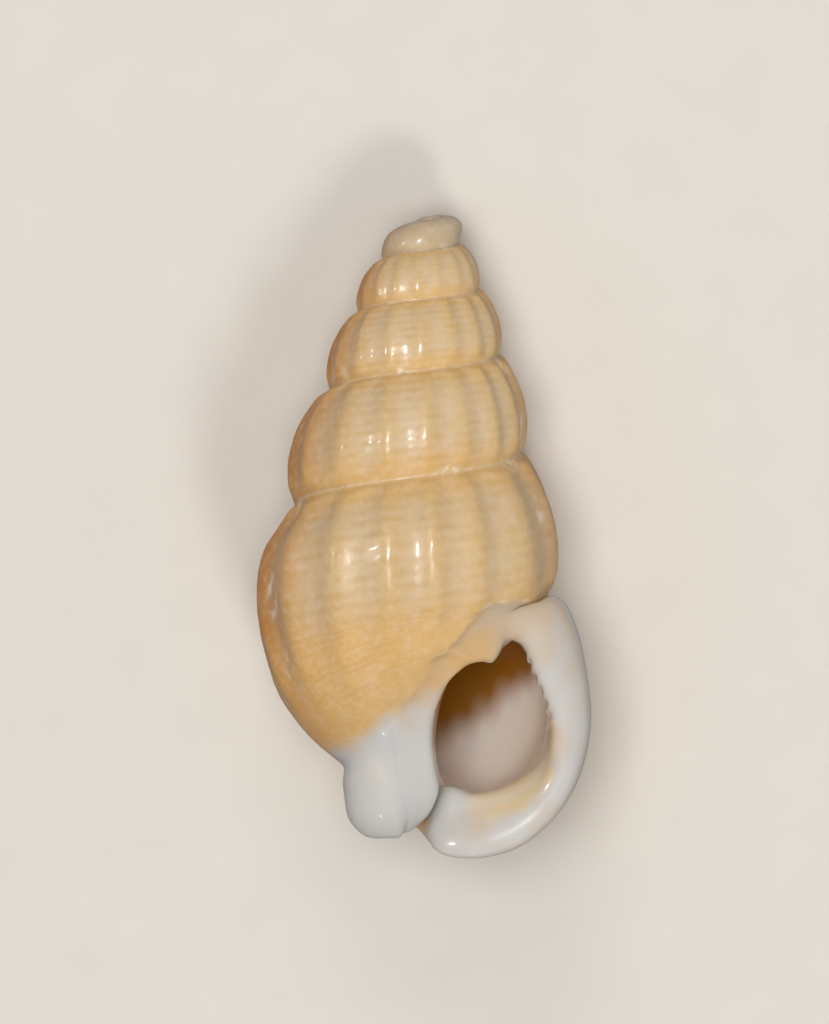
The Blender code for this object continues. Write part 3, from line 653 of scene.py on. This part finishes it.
def last_grid(stages, levels):
    """Grid of the last whorl: as the spire's, but its first and last columns lie on callus and lip."""
    stage, level = np.meshgrid(stages, levels, indexing="ij")
    share = stage - LIP_STAGE
    angle = column_angle(stage, level)
    bare = plain_point(angle, level, True)
    callus = through(np.maximum(level, 1.0), CALLUS_LEVEL, CALLUS_EDGE)
    lip = through(level, LIP_LEVEL, LIP_EDGE)
    near_callus = (1.0 - ease(*NEAR_CALLUS, share)) * (level > 1.0)
    near_lip = 1.0 - ease(*NEAR_LIP, 1.0 - share)
    bare = bare + (callus - bare[:1]) * near_callus[..., None] + (lip - bare[-1:]) * near_lip[..., None]
    inner_level = np.clip(level, NORMAL_EDGE, NORMAL_FOOT)
    normal = skin_normal(np.maximum(angle, LIP_STAGE + NORMAL_EDGE), inner_level, True)
    wave = rib_wave(angle, level)
    below = distance_down(bare)
    away = ease(*FIRST_RIB, share)
    lower = 1.0 - ease(*RIB_FOOT, level)
    joined = np.where(level <= 1.0, lower * (1.0 - away) + away, away)
    on_base = 1.0 - ease(*RIB_BASE, level)
    fade = ease(*RIB_TOP, level) * on_base * (1.0 - ease(*LAST_RIB, share)) * joined
    fade = fade * (1.0 - (1.0 - ease(0.02, 0.14, share)) * ease(0.85, 1.05, level))
    cords = joined * (1.0 - ease(*LAST_CORD, share)) * (1.0 - ease(*CORD_BASE, level))
    at_edge = np.sqrt(((bare - bare[:1]) ** 2).sum(-1)) + FAR * (share > 0.5)
    cords = cords * (1.0 - (1.0 - ease(0.05, 0.6, at_edge)) * ease(0.9, 1.1, level))
    marks, fine = skin_marks(bare, angle, level, below, np.full(level.shape, FAR), wave, cords)
    swelling = np.exp(-((share - SWELLING_SHARE) / SWELLING_WIDTH) ** 2) * on_base
    swelling = swelling * ease(*SWELLING_TOP, level)
    uneven = ripple(bare, *PAD_FIELD)
    pad, line = callus_pad(bare, angle, level, share, uneven)
    attached = np.sqrt(((bare - np.array(LIP_EDGE[0])) ** 2).sum(-1))
    crease = ease(*CREASE_TOP, level) * (1.0 - ease(*CREASE_FOOT, level))
    crease = crease * np.exp(-(at_edge / CREASE_WIDTH) ** 2)
    height = rib_height(angle) * fade * (wave - RIB_REST) + LIP_SWELLING * swelling + fine * (1.0 - pad)
    height = height + PAD_HEIGHT * pad * ease(*PAD_START, attached) - CREASE_DEPTH * crease
    height = height + PAD_LINE_HEIGHT * line
    white = ease(-0.05, 0.05, level - WHITE_LEVEL - WHITE_LOWER * ease(*NEAR_CALLUS, share) + 0.012 * uneven)
    white = np.maximum(white, pad * through(angle, PAD_WHITE_STAGE, PAD_WHITE))
    low = away * ease(*ORANGE_BASE, level) + FOOT_ORANGE * (1.0 - away) * ease(*ORANGE_FOOT, level)
    marks["orange"] = (TOP_ORANGE * (1.0 - ease(*ORANGE_TOP, level)) + low) * (share < 0.98)
    marks["pad"] = pad
    marks["white"] = np.maximum(white, ease(*WHITE_BORDER, share + 0.002 * uneven))
    marks["seam"] = np.maximum(marks["seam"] * (1.0 - pad), 0.8 * line)
    return bare + normal * height[..., None], marks


def callus_pad(bare, angle, level, share, uneven):
    """Callus pad and the crusty line on its border, each from 0 to 1: below a curve drawn on the whorl."""
    border = through(angle, PAD_STAGE, PAD_BORDER) + PAD_UNEVEN * uneven
    depth = bare[..., 1]
    first_half = share < 0.5
    pad = ease(*PAD_SPAN, depth - border) * (1.0 - ease(*PAD_END, angle)) * first_half
    pad = pad * (1.0 - ease(*PAD_FOOT, level))
    beside = np.exp(-((depth - border) / PAD_LINE_WIDTH) ** 2) * (1.0 - ease(3.20, 3.215, angle)) * first_half
    crusty = ease(-0.5, 0.6, ripple(bare, *PAD_LINE_FIELD))
    return pad, beside * crusty * ease(0.02, 0.10, depth - PAD_LINE_START)


def between(loop):
    """Closed loop with a point added between each two: 9 parts of both less 1 of those beyond, by 16."""
    following = np.roll(loop, -1, 0)
    middle = (9.0 * (loop + following) - np.roll(loop, 1, 0) - np.roll(loop, -2, 0)) / 16.0
    return np.stack([loop, middle], 1).reshape((-1,) + loop.shape[1:])


def halved(values):
    """Values with the mean of each two put between them."""
    middle = 0.5 * (values[:-1] + values[1:])
    return np.append(np.stack([values[:-1], middle], 1).reshape(-1), values[-1])


def blurred(rows, arc, total, width):
    """Rows of points around closed loops, each the mean of all weighted by a bell of the distance."""
    gap = np.abs(arc[:, None] - arc[None])
    weight = np.exp(-(np.minimum(gap, total - gap) / width) ** 2)
    return (weight / weight.sum(-1, keepdims=True)) @ rows


def opening_grid(skin, levels):
    """Rows from the edges over the rim: cubic arcs that leave the skin along its slope and end at the rim."""
    inner = np.where(levels >= 1.0 - 1e-9)[0]
    edge = between(np.concatenate([skin[0, inner], skin[-1, ::-1][1:-1]]))
    before = between(np.concatenate([skin[1, inner], skin[-2, ::-1][1:-1]]))
    callus_levels = halved(levels[inner])
    lip_levels = halved(levels[::-1])[1:-1]
    on_lip = np.arange(len(edge)) >= len(callus_levels)
    level = np.concatenate([callus_levels, lip_levels])
    rim, ledge = [
        np.concatenate([through(callus_levels, CALLUS_LEVEL, callus), through(lip_levels, LIP_LEVEL, lip)])
        for callus, lip in ((CALLUS_RIM, LIP_RIM), (CALLUS_LEDGE, LIP_LEDGE))
    ]
    inward = unit(np.array(OPENING_MIDDLE) - 0.5 * (rim + ledge))
    push = (inward * (teeth(level) * on_lip)[:, None])[None]
    piece = np.sqrt(((np.roll(edge, -1, 0) - edge) ** 2).sum(-1))
    arc = np.concatenate([[0.0], np.cumsum(piece)[:-1]])
    total = piece.sum()
    leave = unit(blurred(unit(edge - before), arc, total, LEAVE_BLUR))
    gap = np.minimum(arc, total - arc)
    share = np.exp(-(gap / TOP_REACH) ** 2)[:, None]
    leave = unit(leave * (1.0 - share) + unit(np.array(TOP_LEAVE)) * share)
    leave = unit(blurred(leave, arc, total, LEAVE_BLUR_AGAIN))
    enter = unit(ledge - rim)
    reach = RIM_REACH * np.sqrt(((rim - edge) ** 2).sum(-1, keepdims=True))
    t = (np.arange(1, LIP_ROWS + 1) / LIP_ROWS)[:, None, None]
    rows = (1.0 - t) ** 3 * edge + 3.0 * (1.0 - t) ** 2 * t * (edge + reach * leave)
    rows = rows + 3.0 * (1.0 - t) * t * t * (rim - reach * enter) + t ** 3 * rim
    filled = (share * np.sin(math.pi * t) ** 2) ** 0.5
    for _ in range(TOP_SMOOTHINGS):
        rows = rows + (blurred(rows, arc, total, TOP_BLUR) - rows) * filled
    rows = rows + push * t ** TOOTH_RIM
    marks = opening_marks(rows, level, on_lip, t[..., 0])
    return rows, marks, rows[-1], ledge + TOOTH_LEDGE * push[0], level, on_lip


def teeth(level):
    """Height of the teeth along the lip: a raised cosine of the level, from the first tooth to the last."""
    tooth = 0.5 + 0.5 * np.cos(TURN * (level - TOOTH_LEVEL) / TOOTH_SPACING)
    last_tooth = TOOTH_LEVEL + TOOTH_SPACING * (TEETH - 1)
    begun = ease(TOOTH_LEVEL - 0.05, TOOTH_LEVEL, level)
    ended = ease(last_tooth - 0.10, last_tooth + 0.08, level)
    return TOOTH_HEIGHT * (tooth ** TOOTH_SHARPNESS - TOOTH_REST) * begun * (1.0 - ended)


def opening_marks(rows, level, on_lip, t):
    """Marks of lip, callus and column: porcelain white, thinner where the skin shows through the callus."""
    whole = np.ones(rows.shape[:2])
    # The canal is painted amber and less white: its own tan, deepened as painted shade of the recess
    shaded_canal = whole * on_lip * ease(*CANAL_TOP, level) * (1.0 - ease(*CANAL_FOOT, level))
    thick = through(level, CALLUS_WHITE_LEVEL, CALLUS_WHITE)
    white = whole * np.where(on_lip, LIP_WHITE + LIP_WHITER * ease(0.05, 0.45, level), thick)
    # Less white toward the lip's outer edge: partly the skin's tan showing, partly painted shade of the
    # rounded edge
    shaded_outer_edge = on_lip * (1.0 - ease(0.0, 0.25, t)) * (1.0 - ease(1.3, 1.5, level))
    white = white + 0.10 * ripple(rows, *LIP_FIELD) * (white < 0.99) - 0.22 * shaded_outer_edge - 0.75 * shaded_canal
    inside = ease(0.70, 0.96, t + 0.04 * ripple(rows, *GLAZE_FIELD))
    return {
        "white": np.clip(white, 0.0, 1.0),
        "pad": whole,
        "amber_and_painted_shade": 0.8 * shaded_canal,
        "glaze": glazed(level, on_lip) * inside,
    }


def shade_line(rows):
    """Brown of the hollow's upper wall from 0 to 1, partly painted shade: on the tip's side of a line across
    the opening.
    """
    over = BROWN_SHADE_FROM[1] - BROWN_SHADE_SLANT * (rows[..., 0] - BROWN_SHADE_FROM[0]) - rows[..., 1]
    return ease(*BROWN_SHADE_SPAN, over + BROWN_SHADE_UNEVEN * ripple(rows, *SHADE_FIELD))


def glazed(level, on_lip):
    """Pale amber glaze from 0 to 1 inside the lip, from the last teeth to the foot of the opening."""
    return on_lip * ease(*GLAZE_TOP, level) * (1.0 - ease(*GLAZE_FOOT, level))


def hollow_grid(rim, ledge, level, on_lip):
    """Rows from the rim down the hollow: smooth curves through rim, ledge and oval sections of the coil."""
    piece = np.sqrt(((np.roll(ledge, -1, 0) - ledge) ** 2).sum(-1))
    around = TURN * np.concatenate([[0.0], np.cumsum(piece)[:-1]]) / piece.sum()
    across = -HOLLOW_HALF_WIDTH * np.sin(around)
    along = -HOLLOW_HALF_HEIGHT * np.cos(around)
    side = across * math.cos(HOLLOW_LEAN) - along * math.sin(HOLLOW_LEAN)
    down = across * math.sin(HOLLOW_LEAN) + along * math.cos(HOLLOW_LEAN)
    keys = [rim, ledge]
    for stage in HOLLOW_STAGES:
        wider = SEAM_RADIUS_GROWTH ** (stage - HOLLOW_FIRST)
        deeper = SEAM_DEPTH_GROWTH ** (stage - HOLLOW_FIRST)
        radius = (HOLLOW_RADIUS + side + SEAM_RADIUS_OFFSET) * wider - SEAM_RADIUS_OFFSET
        depth = (HOLLOW_DEPTH + down + HOLLOW_DEPTH_OFFSET) * deeper - HOLLOW_DEPTH_OFFSET
        keys.append(np.stack([radius * math.cos(TURN * stage), depth, radius * math.sin(TURN * stage)], -1))
    steps = np.linspace(0.0, 1.0, HOLLOW_ROWS + 1)[1:] ** HOLLOW_CROWDING * HOLLOW_KEYS[-1]
    rows = through(steps, HOLLOW_KEYS, np.array(keys).reshape(len(keys), -1)).reshape(len(steps), len(rim), 3)
    inside = np.broadcast_to(steps[:, None], rows.shape[:2])
    uneven = ripple(rows, *HOLLOW_FIELD)
    shelf = ease(1.15, 1.3, level) * (1.0 - ease(1.65, 1.8, level)) * on_lip
    lined = ease(0.1, 0.6, inside - 0.55 * shelf)
    turns = np.arctan2(rows[..., 2], rows[..., 0]) / TURN + 4.0
    ribs = rib_wave(turns - RIB_SHOWING, np.full(turns.shape, RIB_MIDDLE))
    broken = 0.7 + 0.3 * ease(-0.5, 0.5, uneven)
    marks = {
        "white": 1.0 - lined,
        # The lining is paler than the lip's porcelain: its own colour lifted as painted light in the shaded
        # hollow
        "lining_and_painted_light": lined,
        "pale": lined * ribs * ease(-0.9, 0.6, uneven),
        # Brown deep in the hollow and on its upper wall: partly the wall's own colour, partly painted shade
        "brown_and_painted_shade": np.maximum(ease(2.2, 3.2, inside), shade_line(rows) * ease(0.3, 0.8, inside)),
        "glaze": glazed(level, on_lip) * (1.0 - ease(0.5, 1.6, inside)) * broken,
    }
    return rows, marks


def strip(first, second, closed):
    """Triangles between two rows of corner numbers of the same length."""
    if closed:
        first = np.append(first, first[0])
        second = np.append(second, second[0])
    a = first[:-1]
    b = first[1:]
    c = second[1:]
    d = second[:-1]
    return np.concatenate([np.stack([a, b, c], -1), np.stack([a, c, d], -1)])


def split_strip(first, second, closed):
    """Triangles between a row of corner numbers and one with twice its steps: three triangles a step."""
    if closed:
        first = np.append(first, first[0])
        second = np.append(second, second[0])
    a = first[:-1]
    b = first[1:]
    c = second[:-2:2]
    d = second[1::2]
    e = second[2::2]
    return np.concatenate([np.stack([a, b, e], -1), np.stack([a, e, d], -1), np.stack([a, d, c], -1)])


def sheet(ids, closed=False):
    """Triangles of a whole grid of corner numbers."""
    return np.concatenate([strip(first, second, closed) for first, second in zip(ids[:-1], ids[1:])])


def build_shell():
    """Corners, marks and triangles of the whole shell: grids that share the corner numbers of their edges."""
    early_levels = np.linspace(0.0, 1.0, EARLY_STEPS + 1)
    late_levels = np.linspace(0.0, 1.0, LATE_STEPS + 1)
    base_levels = np.linspace(1.0, FOOT_LEVEL, BASE_STEPS + 1)[1:]
    foot_levels = np.linspace(FOOT_LEVEL, 2.0, FOOT_STEPS + 1)[1:]
    last_levels = np.concatenate([late_levels, base_levels, foot_levels])
    steps = np.arange(EARLY_TURNS + LATE_TURNS + 1)
    stages = LIP_STAGE - steps[::-1] / COLUMNS
    early, early_marks = spire_grid(stages[:EARLY_TURNS + 1], early_levels)
    late, late_marks = spire_grid(stages[EARLY_TURNS + 1:], late_levels)
    last, last_marks = last_grid(LIP_STAGE + np.arange(COLUMNS + 1) / COLUMNS, last_levels)
    bottoms = np.concatenate([early[:, -1], late[:, -1]])
    last[0, :LATE_STEPS + 1] = late[-1]
    last[1:, 0] = bottoms[-COLUMNS:]
    last[:, -1] = last[0, -1]
    opening, lip_marks, rim, ledge, level, on_lip = opening_grid(last, last_levels)
    hollow, hollow_marks = hollow_grid(rim, ledge, level, on_lip)
    loop_points = np.concatenate([early[:COLUMNS, 0], early[0, :0:-1]])
    middle = loop_points.mean(0) - np.array([0.0, TIP_RISE, 0.0])
    t = (np.arange(1, TIP_ROWS) / TIP_ROWS)[:, None, None]
    tip = loop_points * (1.0 - t) + middle * t
    ends = np.array([middle, hollow[-1].mean(0)])
    tip_marks = {"grey": np.ones(tip.shape[:2])}
    end_marks = {"grey": np.array([1.0, 0.0]), "brown_and_painted_shade": np.array([0.0, 1.0])}
    parts = [
        (early, early_marks), (late, late_marks), (last, last_marks), (opening, lip_marks),
        (hollow, hollow_marks), (tip, tip_marks), (ends, end_marks),
    ]
    points = np.concatenate([part.reshape(-1, 3) for part, _ in parts])
    marks = {}
    for name in MARKS:
        spread = [np.broadcast_to(found.get(name, 0.0), part.shape[:-1]) for part, found in parts]
        marks[name] = np.concatenate([values.reshape(-1) for values in spread])
    ids = []
    start = 0
    for part, _ in parts:
        count = part.size // 3
        ids.append(start + np.arange(count).reshape(part.shape[:-1]))
        start = start + count
    early_ids, late_ids, last_ids, opening_ids, hollow_ids, tip_ids, end_ids = ids
    bottom_ids = np.concatenate([early_ids[:, -1], late_ids[:, -1]])
    early_ids[COLUMNS:, 0] = bottom_ids[:EARLY_TURNS + 1 - COLUMNS]
    early_ids[:COLUMNS // 10, 0] = early_ids[0, 0]
    late_ids[:, 0] = bottom_ids[EARLY_TURNS + 1 - COLUMNS:-COLUMNS]
    last_ids[0, :LATE_STEPS + 1] = late_ids[-1]
    last_ids[1:, 0] = bottom_ids[-COLUMNS:]
    last_ids[:, -1] = last_ids[0, -1]
    loop = np.concatenate([last_ids[0, LATE_STEPS:], last_ids[-1, ::-1][1:-1]])
    tip_loop = np.concatenate([early_ids[:COLUMNS, 0], early_ids[0, :0:-1]])
    faces = np.concatenate([
        sheet(early_ids),
        split_strip(early_ids[-1], late_ids[0], False),
        sheet(late_ids),
        sheet(last_ids),
        split_strip(loop, opening_ids[0], True)[:, ::-1],
        sheet(opening_ids, True)[:, ::-1],
        strip(opening_ids[-1], hollow_ids[0], True)[:, ::-1],
        sheet(hollow_ids, True)[:, ::-1],
        strip(hollow_ids[-1], np.full(len(hollow_ids[-1]), end_ids[1]), True)[:, ::-1],
        strip(tip_loop, tip_ids[0], True),
        sheet(tip_ids, True),
        strip(tip_ids[-1], np.full(len(tip_ids[-1]), end_ids[0]), True),
    ])
    whole = (faces[:, 0] != faces[:, 1]) & (faces[:, 1] != faces[:, 2]) & (faces[:, 0] != faces[:, 2])
    used, faces = np.unique(faces[whole], return_inverse=True)
    faces = faces.reshape(-1, 3)
    return points[used], {name: values[used] for name, values in marks.items()}, faces


def to_frame(points):
    """Points of the shell's frame in the row's frame, in metres: leant, rolled, shifted, and flat below."""
    turned = np.stack([points[:, 0], -points[:, 1], points[:, 2]], -1) @ np.array(rest_turn()).T
    placed = turned + np.array(REST_SHIFT)
    placed[:, 2] = np.maximum(placed[:, 2], 0.0)
    return placed * METRES


def rest_turn():
    """Turn from the shell's frame to the row's frame: a roll about the axis, then a lean."""
    lean = Matrix.Rotation(math.radians(REST_LEAN), 3, "X")
    return lean @ Matrix.Rotation(math.radians(REST_ROLL), 3, "Y")


def shell_mesh():
    """The shell's mesh with one attribute for each mark."""
    points, marks, faces = build_shell()
    points = to_frame(points)
    a, b, c = points[faces[:, 0]], points[faces[:, 1]], points[faces[:, 2]]
    if (a * np.cross(b, c)).sum() < 0.0:
        faces = faces[:, ::-1]
    mesh = bpy.data.meshes.new("shell_surface")
    mesh.vertices.add(len(points))
    mesh.vertices.foreach_set("co", points.reshape(-1))
    mesh.loops.add(faces.size)
    mesh.loops.foreach_set("vertex_index", np.ascontiguousarray(faces).reshape(-1))
    mesh.polygons.add(len(faces))
    mesh.polygons.foreach_set("loop_start", np.arange(len(faces)) * 3)
    mesh.polygons.foreach_set("use_smooth", np.ones(len(faces), bool))
    for name, values in marks.items():
        mesh.attributes.new(name, "FLOAT", "POINT").data.foreach_set("value", values)
    mesh.update(calc_edges=True)
    mesh.validate()
    return mesh


def linear(hex_colour):
    """Linear colour of an sRGB hex value."""
    parts = [int(hex_colour[place:place + 2], 16) / 255.0 for place in (1, 3, 5)]
    curved = [part / 12.92 if part <= 0.04045 else ((part + 0.055) / 1.055) ** 2.4 for part in parts]
    return tuple(curved) + (1.0,)


def add(tree, kind, values=None, out=0, **settings):
    """Adds a node and gives its output called out, if it has one.

    Settings are its properties, and values its inputs: each a number, a colour or another node's output.
    """
    node = tree.nodes.new(kind)
    for name, setting in settings.items():
        setattr(node, name, setting)
    for socket, value in (values or {}).items():
        if isinstance(value, bpy.types.NodeSocket):
            tree.links.new(value, node.inputs[socket])
        else:
            node.inputs[socket].default_value = value
    return node.outputs[out] if node.outputs else None


def grown_shell():
    """Sea snail shell, aragonite laid down in thin layers and left with its natural gloss.

    The layers are slightly see-through, so light softens in them: tan and amber on the skin, cream on the
    worn crests of the ribs, and dense white porcelain where lip and column were thickened last. The amber at
    the sides, the back and in the canal is partly painted shade, the hollow's brown is partly painted shade,
    and its pale lining is partly painted light.
    """
    material = bpy.data.materials.new("grown_aragonite_shell")
    material.use_nodes = True
    tree = material.node_tree
    tree.nodes.clear()
    place = add(tree, "ShaderNodeTexCoord", out="Object")
    cloudy = add(tree, NOISE, {"Vector": place, "Scale": CLOUDS, "Detail": 4.0})
    stretched = add(tree, "ShaderNodeMapping", {"Vector": place, "Scale": STREAKS})
    streaky = add(tree, NOISE, {"Vector": stretched, "Scale": 1.0, "Detail": 3.0})
    grainy = add(tree, NOISE, {"Vector": place, "Scale": GRAINS, "Detail": 3.0})
    blotchy = add(tree, NOISE, {"Vector": place, "Scale": BLOTCHES, "Detail": 5.0, "Roughness": 0.7})
    blotch = add(tree, SPREAD, {"Value": blotchy, "From Min": 0.46, "From Max": 0.72, "To Max": 0.26})
    colour = add(tree, MIX, {0: cloudy, 6: linear("#CBAC76"), 7: linear("#D3BA91")}, 2, data_type="RGBA")
    for mark, tint, strength, cloud, streak in COATS:
        fac = add(tree, MARK, None, "Fac", attribute_name=mark)
        clouded = add(tree, MATH, {0: cloudy, 1: 2.0 * cloud, 2: 1.0 - cloud}, operation="MULTIPLY_ADD")
        streaked = add(tree, MATH, {0: streaky, 1: 2.0 * streak, 2: 1.0 - streak}, operation="MULTIPLY_ADD")
        both = add(tree, MATH, {0: clouded, 1: streaked}, operation="MULTIPLY")
        scaled = add(tree, MATH, {0: both, 1: strength}, operation="MULTIPLY")
        amount = add(tree, MATH, {0: scaled, 1: fac}, operation="MULTIPLY", use_clamp=True)
        colour = add(tree, MIX, {0: amount, 6: colour, 7: linear(tint)}, 2, data_type="RGBA")
        if mark == "grey":
            # The grooves between the cords and the pale blotches lie over the skin and under the porcelain
            cord = add(tree, MARK, None, "Fac", attribute_name="cord")
            groove = add(tree, MATH, {0: cord, 1: -0.24, 2: 0.24}, operation="MULTIPLY_ADD", use_clamp=True)
            colour = add(tree, MIX, {0: groove, 6: colour, 7: linear("#B88A3C")}, 2, data_type="RGBA")
            colour = add(tree, MIX, {0: blotch, 6: colour, 7: linear("#E9D9CE")}, 2, data_type="RGBA")
    # The porcelain of the lip is the glossiest and the foot of each whorl the dullest
    orange = add(tree, MARK, None, "Fac", attribute_name="orange")
    white = add(tree, MARK, None, "Fac", attribute_name="white")
    duller = add(tree, MATH, {0: orange, 1: -0.34, 2: 0.38}, operation="MULTIPLY_ADD")
    gloss = add(tree, MATH, {0: white, 1: 0.45, 2: duller}, operation="MULTIPLY_ADD", use_clamp=True)
    rough = add(tree, SPREAD, {"Value": grainy, "To Min": 0.24, "To Max": 0.40})
    fine = add(tree, "ShaderNodeBump", {"Height": grainy, "Strength": 0.25, "Distance": 0.000008})
    relief = add(tree, "ShaderNodeBump", {
        "Height": streaky,
        "Strength": 0.3,
        "Distance": 0.00001,
        "Normal": fine,
    })
    surface = add(tree, "ShaderNodeBsdfPrincipled", {
        "Base Color": colour,
        "Roughness": rough,
        "Normal": relief,
        "IOR": 1.48,
        "Subsurface Weight": 0.45,
        "Subsurface Radius": (1.0, 0.6, 0.35),
        "Subsurface Scale": 0.0005,
        "Coat Weight": gloss,
        "Coat Roughness": 0.13,
    })
    add(tree, "ShaderNodeOutputMaterial", {"Surface": surface})
    return material


def studio_floor():
    """Pale studio floor, a matt painted board."""
    mesh = bpy.data.meshes.new("studio_floor")
    sides = [(-1, -1), (1, -1), (1, 1), (-1, 1)]
    corners = [(FLOOR_HALF * across, FLOOR_HALF * along, -FLOOR_GAP) for across, along in sides]
    mesh.from_pydata(corners, [], [(0, 1, 2, 3)])
    floor = bpy.data.objects.new("studio_floor", mesh)
    bpy.context.scene.collection.objects.link(floor)
    material = bpy.data.materials.new("matt_painted_board")
    material.use_nodes = True
    tree = material.node_tree
    tree.nodes.clear()
    place = add(tree, "ShaderNodeTexCoord", out="Object")
    speck = add(tree, NOISE, {"Vector": place, "Scale": FLOOR_SPECKS, "Detail": 3.0})
    colour = add(tree, MIX, {0: speck, 6: linear("#D4D1CC"), 7: linear("#D9D6D1")}, 2, data_type="RGBA")
    surface = add(tree, "ShaderNodeBsdfPrincipled", {"Base Color": colour, "Roughness": 0.8})
    add(tree, "ShaderNodeOutputMaterial", {"Surface": surface})
    mesh.materials.append(material)
    floor.visible_glossy = False


def add_light(name, place, size, power, colour, gleams):
    """Square lamp that shines at the row's origin: it makes only glints if gleams is true, else none."""
    lamp = bpy.data.lights.new(name, "AREA")
    lamp.size = size * METRES
    lamp.energy = power
    lamp.color = linear(colour)[:3]
    holder = bpy.data.objects.new(name, lamp)
    away = Matrix.Translation([part * METRES for part in place])
    turn = away.to_translation().to_track_quat("Z", "Y").to_matrix().to_4x4()
    holder.matrix_world = away @ turn
    holder.visible_glossy = gleams
    holder.visible_diffuse = not gleams
    bpy.context.scene.collection.objects.link(holder)


def add_camera():
    """Camera square to the opening's side of the shell, at the photograph's tilt and height."""
    lens = bpy.data.cameras.new("camera")
    lens.sensor_fit = "VERTICAL"
    lens.sensor_height = 24.0
    lens.lens = 24.0 * CAMERA_DISTANCE / PICTURE_HEIGHT
    lens.clip_start = 0.01
    lens.clip_end = 5.0
    camera = bpy.data.objects.new("camera", lens)
    across = (math.cos(PICTURE_TILT), math.sin(PICTURE_TILT), 0.0)
    up = (-math.sin(PICTURE_TILT), math.cos(PICTURE_TILT), 0.0)
    axes = rest_turn() @ Matrix([across, up, (0.0, 0.0, 1.0)]).transposed()
    place = np.array(LOOKED_AT) + np.array([0.0, 0.0, CAMERA_DISTANCE])
    place = np.array(rest_turn()) @ place + np.array(REST_SHIFT)
    camera.matrix_world = Matrix.Translation(list(place * METRES)) @ axes.to_4x4()
    bpy.context.scene.collection.objects.link(camera)
    bpy.context.scene.camera = camera


def studio():
    """Pale surroundings, soft lamps above the shell, and small lamps that only make glints."""
    world = bpy.data.worlds.new("studio")
    world.use_nodes = True
    backdrop = world.node_tree.nodes["Background"]
    backdrop.inputs["Color"].default_value = linear("#F4F3F1")
    backdrop.inputs["Strength"].default_value = SURROUNDINGS
    bpy.context.scene.world = world
    bpy.context.scene.view_settings.view_transform = "Standard"
    for name, place, width, power, colour in SOFT_LAMPS:
        add_light(name, place, width, power, colour, False)
    for number, (place, power) in enumerate(GLINT_LAMPS):
        add_light("glint_lamp_%d" % number, place, GLINT_LAMP_WIDTH, power, "#FFFFFF", True)


def main():
    """Builds the shell, its floor, the lamps and the camera."""
    shell = bpy.data.objects.new("shell_surface", shell_mesh())
    shell.data.materials.append(grown_shell())
    bpy.context.scene.collection.objects.link(shell)
    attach(shell, "root")
    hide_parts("shell")
    studio_floor()
    studio()
    add_camera()


main()
